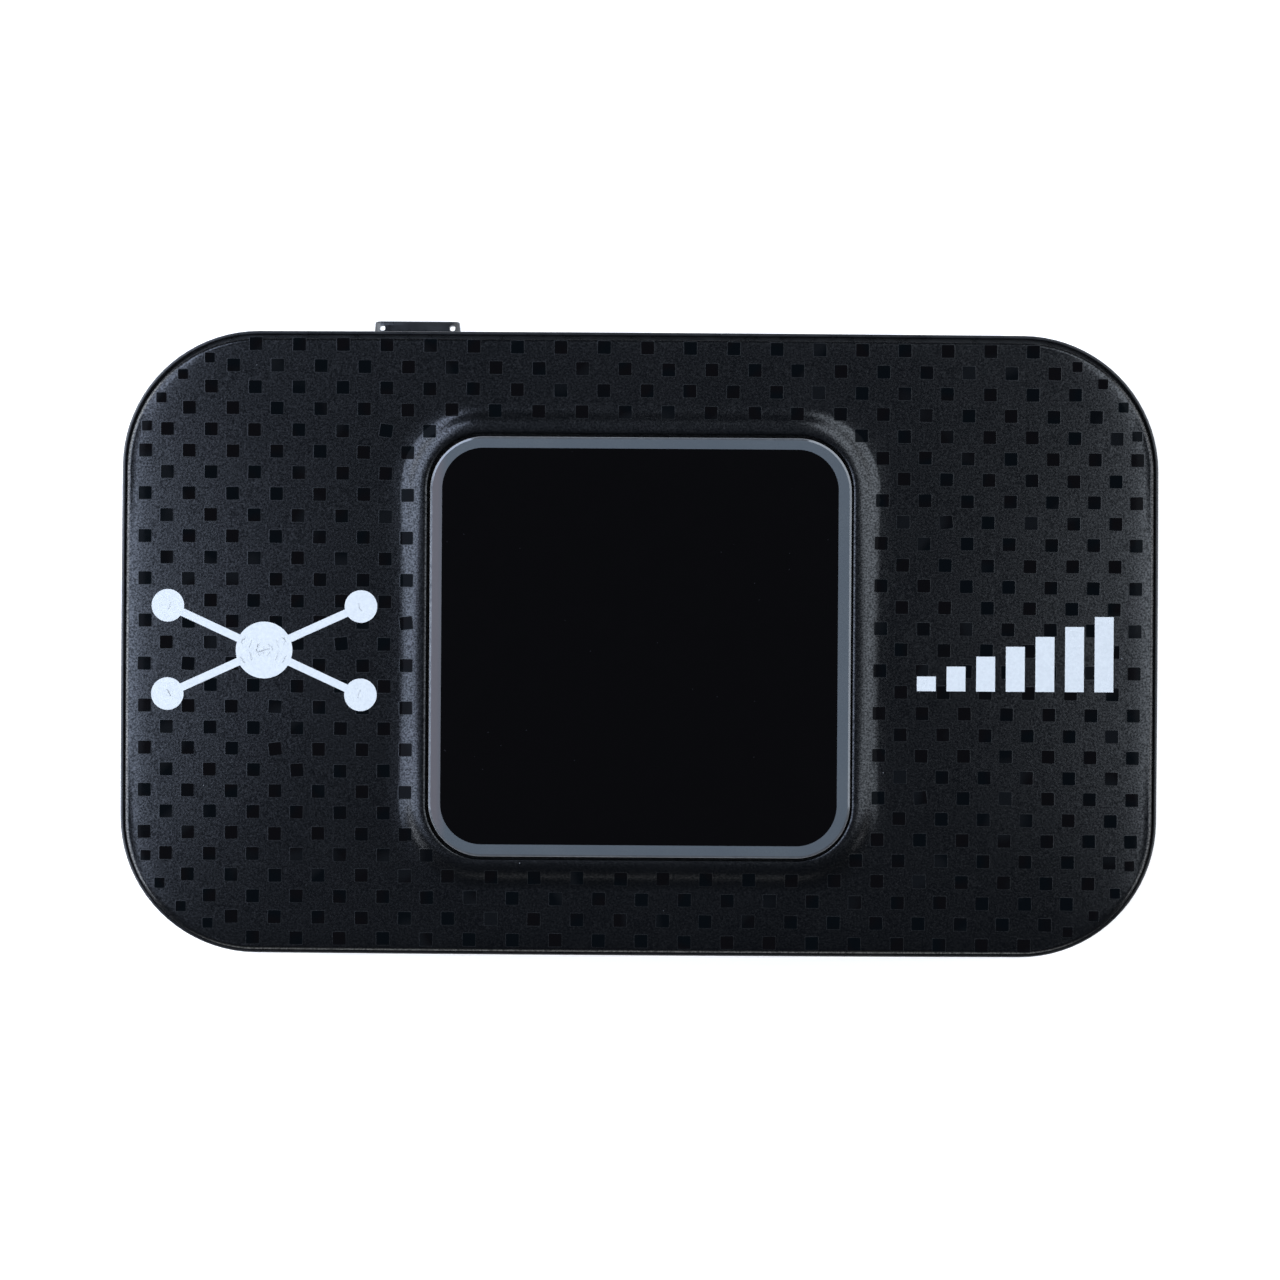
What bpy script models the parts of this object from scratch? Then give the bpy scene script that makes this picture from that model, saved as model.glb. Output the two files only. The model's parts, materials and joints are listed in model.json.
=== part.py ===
"""Mobile hotspot: a pocket cellular router lying on its back, screen up.

The lengths below are in millimetres, and the helpers turn them into metres. The origin is the centre
of the flat rear face. +X runs along the body, +Y points at the edge with the power button, and +Z
points out of the screen.
"""

import math

import bmesh
import bpy
from mathutils import Matrix, Vector

MM = 0.001
TINY = 1e-4
OVER = 1.0  # how far a cutter runs past the face that it cuts
JOIN = 0.2  # how far a joined piece reaches into its neighbour
GAP = 0.06  # gap between pieces that are soldered or glued together
RIGHT_ANGLE = math.pi / 2

# Body outline, a rectangle with round corners.
BODY_LENGTH = 99.0
BODY_WIDTH = 59.5
BODY_CORNER = 12.9
RIM = 0.35  # width of the thin rim that shows round the front cover
GROOVE = 0.25  # dark gap between that rim and the front cover
SEAM = 0.2  # the back cover stands this far inside the outline of the housing

# Levels above the rear face.
BACK_FLOOR = 1.2
BACK_TOP = 5.0
TAB_TOP = 6.6
BATTERY_LOW = 1.6
BATTERY_HIGH = 6.8
HOUSING_LOW = 5.2
WEB_LOW = 7.3
WEB_HIGH = 8.3
BOARD_LOW = 8.7
BOARD_HIGH = 9.5
LEDGE = 10.8
RIM_TOP = 11.6
COVER_LOW = 11.0
COVER_INSIDE = 12.7
COVER_TOP = 13.9
ISLAND_TOP = 14.45
LENS_LOW = 13.45
LENS_TOP = 14.6

# Walls and rounded edges.
BACK_WALL = 1.2
BACK_EDGE = 3.0
HOUSING_WALL = 1.4
HOUSING_EDGE = 0.25
RIM_EDGE = 0.12
COVER_WALL = 1.2
COVER_EDGE = 0.5

# Screen. Its middle is a little below the middle of the body.
LENS_Y = -0.28
LENS_SIZE = 40.2
LENS_CORNER = 5.1
LENS_GAP = 0.3
LENS_BEVEL = 0.15
ISLAND_SIZE = 45.0
ISLAND_CORNER = 7.5
ISLAND_SLOPE = 1.6
VIEW_HALF = 18.2  # half the hole in the cover under the lens
DISPLAY_HALF = 19.4
PANEL_LEVELS = (11.4, 12.3)
BACKLIGHT_TOP = 11.3

# Battery and the board.
BATTERY_X = (-45.5, 13.5)
BATTERY_HALF = 22.0
BAY_LOW = 3.0  # lower edge of the ribs along the battery
BAY_RIB = 0.8
BAY_GAP = 0.4
BOARD_X = (-39.0, 41.0)
BOARD_HALF = 27.9
BOARD_CORNER = 3.0

# Fasteners: each screw passes the web and the board into a post of the front cover.
SCREWS = [(-36, -25.2), (12, -25.2), (36, -25.2), (-36, 25.2), (12, 25.2), (36, 25.2)]
POST_RADIUS = 1.8
POST_BORE = 0.8
SHANK_RADIUS = 0.7
HEAD_RADIUS = 1.4

# Power button and its switch, on the +Y edge.
BUTTON_X = -21.2
BUTTON_WIDTH = 8.3
BUTTON_LEVELS = (7.8, 10.2)
BUTTON_STANDS_OUT = 1.0
BUTTON_SLACK = 0.25  # room round the button in its opening
FLANGE_MARGIN = 1.0  # the flange behind the wall is this much longer at each end
PLUNGER_LEVELS = (8.8, 9.5)
SWITCH_LEVELS = (8.4, 9.9)
SWITCH_Y = (24.4, 26.5)
SWITCH_HALF = 2.2

# Charging socket, on the -Y edge.
USB_HALF = 3.75
USB_LEVELS = (7.8, 10.4)
USB_Y = (-29.3, -23.7)
USB_WALL = 0.3

# SIM card (15 by 12) and reset key.
SIM_X = (25.5, 40.5)
SIM_HALF = 6.0
SIM_LOW = 7.52
SIM_THICKNESS = 0.76
SIM_HOLDER_LOW = 7.0
RESET = (28.5, -14.0)

# Sprung contacts beside the battery, and the antennas at the two ends.
SPRINGS_Y = (-4.2, -1.4, 1.4, 4.2)
CONTACT_LOW = 3.0
MAIN_CARRIER_X = (-47.2, -39.6)
FAR_CARRIER_X = (41.7, 47.2)
CARRIER_HALF = 15.5
CARRIER_TOP = 11.8
FOIL_LEVELS = (11.87, 12.0)

CORNER_STEPS = 12
SMALL_CORNER_STEPS = 3
EDGE_STEPS = 3
ROUND_STEPS = 16

COLORS = {
    "satin_black": ((0.020, 0.022, 0.027), 0.45, 0.0),
    "frame_black": ((0.016, 0.017, 0.020), 0.35, 0.0),
    "rear_black": ((0.014, 0.014, 0.016), 0.60, 0.0),
    "window_glass": ((0.004, 0.004, 0.005), 0.06, 0.0),
    "display": ((0.010, 0.011, 0.014), 0.15, 0.0),
    "display_frame": ((0.55, 0.56, 0.58), 0.35, 0.6),
    "foam": ((0.018, 0.018, 0.018), 0.95, 0.0),
    "polyimide": ((0.36, 0.14, 0.03), 0.35, 0.0),
    "board_green": ((0.010, 0.075, 0.035), 0.40, 0.0),
    "tin_can": ((0.56, 0.55, 0.52), 0.38, 1.0),
    "chip_black": ((0.015, 0.015, 0.017), 0.50, 0.0),
    "socket_steel": ((0.62, 0.62, 0.62), 0.28, 1.0),
    "ivory_plastic": ((0.60, 0.56, 0.46), 0.50, 0.0),
    "gold_contact": ((0.75, 0.52, 0.20), 0.30, 1.0),
    "battery_wrap": ((0.060, 0.062, 0.066), 0.55, 0.0),
    "card_white": ((0.80, 0.80, 0.78), 0.45, 0.0),
    "screw_steel": ((0.30, 0.30, 0.31), 0.35, 1.0),
}


def clear_scene():
    for old in list(bpy.data.objects):
        bpy.data.objects.remove(old, do_unlink=True)


def new_collection(name):
    collection = bpy.data.collections.new(name)
    bpy.context.scene.collection.children.link(collection)
    return collection


clear_scene()
PARTS = new_collection("mobile_hotspot")
CUTTERS = new_collection("cutters")
CUTTERS.hide_render = True


# ---------------------------------------------------------------- helpers


def material(slot):
    """The Principled material of a slot, made the first time that it is asked for."""
    found = bpy.data.materials.get(slot)
    if found:
        return found
    color, roughness, metallic = COLORS[slot]
    made = bpy.data.materials.new(slot)
    made.use_nodes = True
    shader = made.node_tree.nodes["Principled BSDF"]
    shader.inputs["Base Color"].default_value = (*color, 1.0)
    shader.inputs["Roughness"].default_value = roughness
    shader.inputs["Metallic"].default_value = metallic
    return made


def finished(name, shape, slot, centre):
    """An object from a bmesh in millimetres; without a slot it is a cutter."""
    bmesh.ops.recalc_face_normals(shape, faces=shape.faces)
    bmesh.ops.scale(shape, vec=(MM, MM, MM), verts=shape.verts)
    mesh = bpy.data.meshes.new(name)
    shape.to_mesh(mesh)
    shape.free()
    made = bpy.data.objects.new(name, mesh)
    made.location = Vector(centre) * MM
    if slot:
        mesh.materials.append(material(slot))
        mesh.shade_smooth()
        mesh.set_sharp_from_angle(angle=0.6)
        PARTS.objects.link(made)
    else:
        made.hide_render = True
        made.display_type = "WIRE"
        CUTTERS.objects.link(made)
    return made


def round_edges(shape, edges, radius, steps):
    if radius:
        bmesh.ops.bevel(
            shape, geom=edges, offset=radius, segments=steps, profile=0.5, affect="EDGES"
        )


def block(name, low, high, slot=None, corner=0.0, rims=(0.0, 0.0), along="Z", steps=None):
    """A box between two corners. The edges that run along one axis are rounded by corner, and then
    the rims at its low and high ends by the two rims."""
    axis = "XYZ".index(along)
    size = Vector(high) - Vector(low)
    shape = bmesh.new()
    bmesh.ops.create_cube(shape, size=1.0)
    bmesh.ops.scale(shape, vec=size, verts=shape.verts)
    half = size[axis] / 2
    lengthwise = [
        edge
        for edge in shape.edges
        if abs(edge.verts[0].co[axis] - edge.verts[1].co[axis]) > half
    ]
    steps = steps or (CORNER_STEPS if corner > 6 else SMALL_CORNER_STEPS)
    round_edges(shape, lengthwise, corner, steps)
    for level, radius in zip((-half, half), rims):
        rim = [
            edge
            for edge in shape.edges
            if all(abs(vert.co[axis] - level) < TINY for vert in edge.verts)
        ]
        round_edges(shape, rim, radius, EDGE_STEPS)
    return finished(name, shape, slot, (Vector(low) + Vector(high)) / 2)


def plate(name, half_x, half_y, z_low, z_high, slot=None, centre=(0.0, 0.0), **rounding):
    """A block given by its half sizes round a centre and its two levels."""
    x, y = centre
    low = (x - half_x, y - half_y, z_low)
    return block(name, low, (x + half_x, y + half_y, z_high), slot, **rounding)


def cylinder(name, centre, radius, z_low, z_high, slot=None):
    shape = bmesh.new()
    bmesh.ops.create_cone(
        shape,
        cap_ends=True,
        segments=ROUND_STEPS,
        radius1=radius,
        radius2=radius,
        depth=z_high - z_low,
    )
    return finished(name, shape, slot, (*centre, (z_low + z_high) / 2))


def ribbon(name, points, width, thickness, slot, centre, plane="XZ"):
    """A bent strip: the points lie in a plane, and the width runs square to it."""
    curve = bpy.data.curves.new(name, "CURVE")
    curve.dimensions = "2D"
    curve.fill_mode = "NONE"
    curve.extrude = width / 2 * MM
    line = curve.splines.new("POLY")
    line.points.add(len(points) - 1)
    for point, (across, up) in zip(line.points, points):
        point.co = (across * MM, up * MM, 0, 1)
    drawn = bpy.data.objects.new(name + "_line", curve)
    PARTS.objects.link(drawn)
    bpy.context.view_layer.update()
    graph = bpy.context.evaluated_depsgraph_get()
    mesh = bpy.data.meshes.new_from_object(drawn.evaluated_get(graph))
    bpy.data.objects.remove(drawn, do_unlink=True)
    # The curve's own plane is XY: stand it up, facing along the chosen plane.
    stand = Matrix.Rotation(RIGHT_ANGLE, 4, "X")
    turn = Matrix.Rotation(RIGHT_ANGLE, 4, "Z") if plane == "YZ" else Matrix()
    mesh.transform(turn @ stand)
    made = bpy.data.objects.new(name, mesh)
    made.location = Vector(centre) * MM
    mesh.materials.clear()
    mesh.materials.append(material(slot))
    PARTS.objects.link(made)
    solid = made.modifiers.new("thickness", "SOLIDIFY")
    solid.thickness = thickness * MM
    solid.offset = 0.0
    solid.use_even_offset = True
    return made


def combine(target, other, operation):
    modifier = target.modifiers.new(other.name, "BOOLEAN")
    modifier.operation = operation
    modifier.solver = "EXACT"
    modifier.object = other


def cut(target, *cutters):
    for cutter in cutters:
        combine(target, cutter, "DIFFERENCE")


def join(target, *others):
    for other in others:
        combine(target, other, "UNION")


def group(name, position, members):
    """Parents the members to an empty that stands on the axis of their joint."""
    empty = bpy.data.objects.new(name, None)
    empty.location = Vector(position) * MM
    PARTS.objects.link(empty)
    for member in members:
        member.parent = empty
        member.location = member.location - empty.location
    return empty


# ---------------------------------------------------------------- shells


def back_cover():
    """A tray with rounded rear edges, straight locating tabs and a fingernail notch."""
    half_x = BODY_LENGTH / 2 - SEAM
    half_y = BODY_WIDTH / 2 - SEAM
    corner = BODY_CORNER - SEAM
    tray = plate(
        "back_cover", half_x, half_y, 0, BACK_TOP, "rear_black", corner=corner, rims=(BACK_EDGE, 0)
    )
    hollow = plate(
        "back_hollow",
        half_x - BACK_WALL,
        half_y - BACK_WALL,
        BACK_FLOOR,
        BACK_TOP + OVER,
        corner=corner - BACK_WALL,
        rims=(BACK_EDGE - BACK_WALL, 0),
    )
    cut(tray, hollow)
    # Each tab stands clear of the housing's wall above, and its foot joins the tray's wall below.
    inner_y = half_y - BACK_WALL
    foot_top = BACK_TOP - 0.5
    for side in (-1, 1):
        for x in (-27.0, 0.0, 27.0):
            tab_low = BACK_FLOOR + 1.0
            tab = plate("tab", 4.0, 0.475, tab_low, TAB_TOP, centre=(x, side * (inner_y - 0.625)))
            foot_low = tab_low + 0.3
            foot = plate("foot", 3.5, 0.6, foot_low, foot_top, centre=(x, side * (inner_y - 0.3)))
            join(tray, tab, foot)
    notch = plate("nail_notch", 1.0, 5.0, 3.8, BACK_TOP + OVER, centre=(half_x + 0.3, 0))
    cut(tray, notch)
    return tray


def mid_housing():
    """The outer frame: a wall, a thin rim round the front cover, and a web that carries the board
    and parts it from the battery."""
    half_x = BODY_LENGTH / 2
    half_y = BODY_WIDTH / 2
    frame = plate(
        "mid_housing",
        half_x,
        half_y,
        HOUSING_LOW,
        RIM_TOP,
        "frame_black",
        corner=BODY_CORNER,
        rims=(HOUSING_EDGE, RIM_EDGE),
    )
    for name, wall, low, high in (
        ("rim_hollow", RIM, LEDGE, RIM_TOP + OVER),
        ("board_hollow", HOUSING_WALL, WEB_HIGH, LEDGE + OVER),
        ("battery_hollow", HOUSING_WALL, HOUSING_LOW - OVER, WEB_LOW),
    ):
        hollow = plate(
            name, half_x - wall, half_y - wall, low, high, corner=BODY_CORNER - wall
        )
        cut(frame, hollow)
    length = (BATTERY_X[1] - BATTERY_X[0]) / 2
    middle = (BATTERY_X[1] + BATTERY_X[0]) / 2
    for side in (-1, 1):
        centre = (middle, side * (BATTERY_HALF + BAY_GAP + BAY_RIB / 2))
        rib = plate("bay_rib", length, BAY_RIB / 2, BAY_LOW, WEB_LOW + JOIN, centre=centre)
        join(frame, rib)
    hole_radius = SHANK_RADIUS + BUTTON_SLACK
    for place in SCREWS:
        cut(frame, cylinder("web_hole", place, hole_radius, WEB_LOW - OVER, WEB_HIGH + OVER))
    cut(frame, *web_windows(), *edge_openings())
    return frame


def web_windows():
    """Holes in the web under the SIM card, the reset key and the battery connector."""
    low, high = WEB_LOW - OVER, WEB_HIGH + OVER / 2
    key_half = BUTTON_WIDTH / 2 + FLANGE_MARGIN + 0.65
    wall = BODY_WIDTH / 2 - HOUSING_WALL
    contact_x = BATTERY_X[1]
    return (
        block("sim_window", (contact_x + 4.7, -8.0, low), (SIM_X[1] + 1.5, 8.0, high)),
        block("contact_window", (contact_x - 0.3, -7.0, low), (contact_x + 5.0, 7.0, high)),
        plate("reset_window", 2.2, 1.9, low, high, centre=RESET),
        block("usb_window", (-USB_HALF - 0.65, -28.0, low), (USB_HALF + 0.65, -23.3, high)),
        block("key_window", (BUTTON_X - key_half, 26.7, low), (BUTTON_X + key_half, wall + 0.15, high)),
    )


def edge_openings():
    """The opening for the power button and the one for the charging socket."""
    half_y = BODY_WIDTH / 2
    slack = BUTTON_SLACK
    low, high = BUTTON_LEVELS
    button = block(
        "button_opening",
        (BUTTON_X - BUTTON_WIDTH / 2 - slack, half_y - 2 * HOUSING_WALL, low - slack),
        (BUTTON_X + BUTTON_WIDTH / 2 + slack, half_y + OVER, high + slack),
        corner=1.2,
        along="Y",
    )
    socket = block(
        "socket_opening",
        (-USB_HALF - 0.35, -half_y - OVER, USB_LEVELS[0] - 0.25),
        (USB_HALF + 0.35, -half_y + 2 * HOUSING_WALL, USB_LEVELS[1] + 0.15),
        corner=0.6,
        along="Y",
    )
    return button, socket


def front_cover():
    """The front moulding: a shallow tray upside down, a raised island with a stepped hole for the
    lens, and six screw posts."""
    half_x = BODY_LENGTH / 2 - RIM - GROOVE
    half_y = BODY_WIDTH / 2 - RIM - GROOVE
    corner = BODY_CORNER - RIM - GROOVE
    cover = plate(
        "front_cover",
        half_x,
        half_y,
        COVER_LOW,
        COVER_TOP,
        "satin_black",
        corner=corner,
        rims=(0, COVER_EDGE),
    )
    hollow = plate(
        "cover_hollow",
        half_x - COVER_WALL,
        half_y - COVER_WALL,
        COVER_LOW - OVER,
        COVER_INSIDE,
        corner=corner - COVER_WALL,
    )
    cut(cover, hollow)
    join(cover, island())
    middle = (0, LENS_Y)
    opening = LENS_SIZE / 2 + LENS_GAP
    pocket = plate(
        "lens_pocket",
        opening,
        opening,
        LENS_LOW - 0.25,
        ISLAND_TOP + OVER,
        centre=middle,
        corner=LENS_CORNER + LENS_GAP,
        steps=CORNER_STEPS,
    )
    hole = plate(
        "view_hole",
        VIEW_HALF,
        VIEW_HALF,
        COVER_INSIDE - OVER,
        ISLAND_TOP + OVER,
        centre=middle,
        corner=2.5,
    )
    cut(cover, pocket, hole)
    for place in SCREWS:
        post = cylinder("post", place, POST_RADIUS, WEB_HIGH + 0.1, COVER_INSIDE + JOIN)
        join(cover, post)
        bore = cylinder("post_bore", place, POST_BORE, WEB_HIGH - OVER, COVER_INSIDE - 0.5)
        cut(cover, bore)
    return cover


def island():
    """The raised field round the lens, with sloping sides."""
    half = ISLAND_SIZE / 2
    low = COVER_INSIDE + 0.4
    shape = bmesh.new()
    bmesh.ops.create_cube(shape, size=1.0)
    bmesh.ops.scale(shape, vec=(2 * half, 2 * half, ISLAND_TOP - low), verts=shape.verts)
    upright = [
        edge for edge in shape.edges if abs(edge.verts[0].co.z - edge.verts[1].co.z) > TINY
    ]
    round_edges(shape, upright, ISLAND_CORNER, CORNER_STEPS)
    # The sides slope in all the way up, and reach the island's size at the cover's face.
    rise = ISLAND_TOP - COVER_TOP
    top = [vert for vert in shape.verts if vert.co.z > 0]
    bottom = [vert for vert in shape.verts if vert.co.z < 0]
    top_size = (half - ISLAND_SLOPE) / half
    bottom_size = (half + ISLAND_SLOPE * (COVER_TOP - low) / rise) / half
    bmesh.ops.scale(shape, vec=(top_size, top_size, 1), verts=top)
    bmesh.ops.scale(shape, vec=(bottom_size, bottom_size, 1), verts=bottom)
    return finished("island", shape, None, (0, LENS_Y, (low + ISLAND_TOP) / 2))


# ---------------------------------------------------------------- screen


def screen_lens():
    half = LENS_SIZE / 2
    return plate(
        "screen_lens",
        half,
        half,
        LENS_LOW,
        LENS_TOP,
        "window_glass",
        centre=(0, LENS_Y),
        corner=LENS_CORNER,
        rims=(0, LENS_BEVEL),
        steps=CORNER_STEPS,
    )


def picture_frame(name, outer, inner, z_low, z_high, slot, corner):
    """A flat square ring round the middle of the screen."""
    middle = (0, LENS_Y)
    ring = plate(name, outer, outer, z_low, z_high, slot, centre=middle, corner=corner)
    low, high = z_low - OVER, z_high + OVER
    hole = plate(name + "_hole", inner, inner, low, high, centre=middle, corner=2.0)
    cut(ring, hole)
    return ring


def display_parts():
    """Adhesive and gasket round the view hole, then the panel, its light guide and its ribbon."""
    middle = (0, LENS_Y)
    adhesive_levels = (LENS_LOW - 0.2, LENS_LOW - 0.05)
    adhesive = picture_frame("lens_adhesive", 19.9, 18.6, *adhesive_levels, "foam", 4.8)
    gasket_levels = (PANEL_LEVELS[1] + 0.08, COVER_INSIDE - GAP)
    gasket = picture_frame("display_gasket", 19.2, 18.3, *gasket_levels, "foam", 2.4)
    half = DISPLAY_HALF
    panel = plate("display_panel", half, half, *PANEL_LEVELS, "display", centre=middle)
    half = DISPLAY_HALF + 0.2
    levels = (BOARD_HIGH + 0.1, BACKLIGHT_TOP)
    light = plate(
        "display_backlight", half, half, *levels, "display_frame", centre=middle, corner=0.6
    )
    connector_top = BOARD_HIGH + 1.0
    connector = block(
        "display_connector",
        (-4.2, 22.4, BOARD_HIGH + GAP),
        (4.2, 24.6, connector_top),
        "ivory_plastic",
    )
    # The ribbon leaves the side of the light guide and drops on to the connector.
    edge = LENS_Y + DISPLAY_HALF + 0.3
    leaves, lands = BACKLIGHT_TOP - 0.35, connector_top + 0.16
    path = [(edge, leaves), (edge + 0.9, leaves), (edge + 1.8, lands), (24.4, lands)]
    flex = ribbon("display_flex", path, 7.2, 0.12, "polyimide", (0, 0, 0), plane="YZ")
    return [adhesive, gasket, panel, light, connector, flex]


# ---------------------------------------------------------------- board


def main_board():
    """The circuit board, notched for the socket and the side switch, and drilled for the posts."""
    board = block(
        "main_board",
        (BOARD_X[0], -BOARD_HALF, BOARD_LOW),
        (BOARD_X[1], BOARD_HALF, BOARD_HIGH),
        "board_green",
        corner=BOARD_CORNER,
    )
    low, high = BOARD_LOW - OVER, BOARD_HIGH + OVER
    for place in SCREWS:
        cut(board, cylinder("board_hole", place, POST_RADIUS + 0.3, low, high))
    past = BOARD_HALF + OVER
    slot = USB_HALF + 0.35
    socket = block("socket_notch", (-slot, -past, low), (slot, USB_Y[1] + 0.3, high))
    slot = SWITCH_HALF + 0.3
    switch = block(
        "switch_notch", (BUTTON_X - slot, SWITCH_Y[0] - 0.3, low), (BUTTON_X + slot, past, high)
    )
    slot = BUTTON_WIDTH / 2 + FLANGE_MARGIN + 0.65
    key = block("key_notch", (BUTTON_X - slot, 27.2, low), (BUTTON_X + slot, past + OVER, high))
    cut(board, socket, switch, key)
    return board


def can(name, low, high):
    """A pressed metal can, open towards the board."""
    sheet = 0.2
    x0, y0 = low
    x1, y1 = high
    base = BOARD_HIGH + GAP
    top = base + 1.8
    shell = block(name, (x0, y0, base), (x1, y1, top), "tin_can", corner=0.5, rims=(0, 0.25))
    hollow = block(
        name + "_hollow",
        (x0 + sheet, y0 + sheet, base - OVER),
        (x1 - sheet, y1 - sheet, top - sheet),
        corner=0.4,
    )
    cut(shell, hollow)
    return shell


def chip(name, centre, half_x, half_y, height):
    base = BOARD_HIGH + GAP
    return plate(name, half_x, half_y, base, base + height, "chip_black", centre=centre)


def electronics():
    """Shield cans to the left and right of the screen, and the chips under them."""
    return [
        can("shield_baseband", (-36.6, -18.0), (-21.4, 16.0)),
        can("shield_radio", (21.4, -13.0), (37.0, 19.0)),
        chip("chip_baseband", (-29.0, 7.0), 5.5, 5.5, 1.0),
        chip("chip_memory", (-29.5, -5.5), 4.0, 4.5, 0.9),
        chip("chip_power", (-28.0, -13.8), 3.2, 2.6, 0.8),
        chip("chip_transceiver", (29.5, 12.5), 4.0, 4.0, 0.9),
        chip("chip_wifi", (28.5, 1.5), 3.5, 3.5, 0.9),
        chip("chip_amplifier", (32.0, -7.5), 3.0, 2.5, 0.8),
    ]


# ---------------------------------------------------------------- sockets, card and switches


def usb_shell():
    """A folded steel sleeve, open towards -Y, with the two lower corners cut off."""
    outer = socket_section("usb_shell", 0.0, 0.9, "socket_steel")
    inner = socket_section("usb_hollow", USB_WALL, 0.8, None)
    inner.location.y -= USB_WALL * MM
    cut(outer, inner)
    return outer


def socket_section(name, inset, chamfer, slot):
    """The socket's outline as a solid, made smaller all round by inset."""
    low, high = USB_LEVELS
    size = (2 * (USB_HALF - inset), USB_Y[1] - USB_Y[0], high - low - 2 * inset)
    shape = bmesh.new()
    bmesh.ops.create_cube(shape, size=1.0)
    bmesh.ops.scale(shape, vec=size, verts=shape.verts)
    lower = [
        edge
        for edge in shape.edges
        if all(vert.co.z < 0 for vert in edge.verts)
        and abs(edge.verts[0].co.y - edge.verts[1].co.y) > TINY
    ]
    round_edges(shape, lower, chamfer, 1)
    return finished(name, shape, slot, (0, sum(USB_Y) / 2, (low + high) / 2))


def usb_tongue():
    """The insulator at the back of the socket, with its contact tongue."""
    low, high = USB_LEVELS
    inside = USB_HALF - USB_WALL - 0.1
    rear = USB_Y[1] - 0.4
    base = block(
        "usb_tongue",
        (-inside, rear - 1.1, low + 1.3),
        (inside, rear, high - USB_WALL - 0.1),
        "chip_black",
    )
    front = USB_Y[0] + 0.7
    tongue = block("tongue_blade", (-1.9, front, low + 1.45), (1.9, rear - 0.5, low + 2.05))
    join(base, tongue)
    return base


def sim_holder():
    """A flat cage under the board, open towards the battery bay."""
    x0, x1 = SIM_X
    low, high = SIM_HOLDER_LOW, BOARD_LOW - GAP
    half = SIM_HALF + 1.0
    cage = block("sim_holder", (x0 - 0.5, -half, low), (x1 + 0.5, half, high), "socket_steel")
    half = SIM_HALF + 0.1
    card_top = SIM_LOW + SIM_THICKNESS
    mouth = block("sim_mouth", (x0 - 2, -half, SIM_LOW - 0.12), (x1 + 0.1, half, card_top + 0.12))
    thumb = block("sim_thumb", (x0 - 2, -2.5, low - OVER), (x0 + 3.5, 2.5, SIM_LOW + 0.3))
    cut(cage, mouth, thumb)
    return cage


def sim_card():
    """A 15 by 12 card with one cut corner."""
    x0, x1 = SIM_X
    low, high = SIM_LOW, SIM_LOW + SIM_THICKNESS
    card = block("sim_card", (x0, -SIM_HALF, low), (x1, SIM_HALF, high), "card_white")
    corner = block("sim_corner", (-1.5, -1.5, -1), (1.5, 1.5, 1))
    corner.rotation_euler.z = RIGHT_ANGLE / 2
    corner.location = Vector((x1 + 0.4, -SIM_HALF - 0.4, low)) * MM
    cut(card, corner)
    return card


def battery():
    return block(
        "battery",
        (BATTERY_X[0], -BATTERY_HALF, BATTERY_LOW),
        (BATTERY_X[1], BATTERY_HALF, BATTERY_HIGH),
        "battery_wrap",
        corner=1.6,
        rims=(0.5, 0.5),
    )


def battery_contacts():
    """The connector block beside the battery, and its four sprung fingers."""
    face = BATTERY_X[1] + 0.6
    high = BOARD_LOW - GAP
    connector = block(
        "battery_connector", (face, -6.0, CONTACT_LOW), (face + 2.9, 6.0, high), "chip_black"
    )
    # Each finger bows out of its slot towards the battery.
    middle = CONTACT_LOW + 2.0
    bow = [(0.75, 1.3), (0.3, 1.1), (-0.4, 0.0), (0.3, -1.1), (0.75, -1.3)]
    path = [(face + out, middle + up) for out, up in bow]
    springs = []
    for number, y in enumerate(SPRINGS_Y, start=1):
        slot = plate("spring_slot", 1.0, 0.6, middle - 1.6, middle + 1.6, centre=(face, y))
        cut(connector, slot)
        name = f"battery_spring_{number}"
        springs.append(ribbon(name, path, 0.8, 0.15, "gold_contact", (0, y, 0)))
    return [connector, *springs]


def power_button():
    """The key: a rounded cap through the housing wall, a flange behind it and a rib that meets the
    switch."""
    half_y = BODY_WIDTH / 2
    low, high = BUTTON_LEVELS
    inside = half_y - HOUSING_WALL
    half = BUTTON_WIDTH / 2
    cap = block(
        "power_button",
        (BUTTON_X - half, inside - 0.3, low),
        (BUTTON_X + half, half_y + BUTTON_STANDS_OUT, high),
        "frame_black",
        corner=1.0,
        rims=(0, 0.35),
        along="Y",
        steps=4,
    )
    reach = half + FLANGE_MARGIN
    flange = block(
        "button_flange",
        (BUTTON_X - reach, inside - 0.55, low - 0.2),
        (BUTTON_X + reach, inside - 0.1, high + 0.3),
    )
    rib = block(
        "button_rib",
        (BUTTON_X - 1, inside - 1.05, PLUNGER_LEVELS[0] - 0.1),
        (BUTTON_X + 1, inside - 0.2, PLUNGER_LEVELS[1] + 0.1),
    )
    join(cap, flange, rib)
    return cap


def power_switch():
    """The side-push switch in the board's notch: its body and its plunger."""
    inside = BODY_WIDTH / 2 - HOUSING_WALL
    body = block(
        "power_switch_body",
        (BUTTON_X - SWITCH_HALF, SWITCH_Y[0], SWITCH_LEVELS[0]),
        (BUTTON_X + SWITCH_HALF, SWITCH_Y[1], SWITCH_LEVELS[1]),
        "socket_steel",
    )
    low, high = PLUNGER_LEVELS
    mouth = block(
        "plunger_mouth",
        (BUTTON_X - 1.2, SWITCH_Y[1] - 0.5, low - 0.15),
        (BUTTON_X + 1.2, SWITCH_Y[1] + OVER, high + 0.15),
    )
    cut(body, mouth)
    plunger = block(
        "power_switch_plunger",
        (BUTTON_X - 1.0, SWITCH_Y[1] - 0.15, low),
        (BUTTON_X + 1.0, inside - 1.1, high),
        "ivory_plastic",
    )
    return body, plunger


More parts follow.
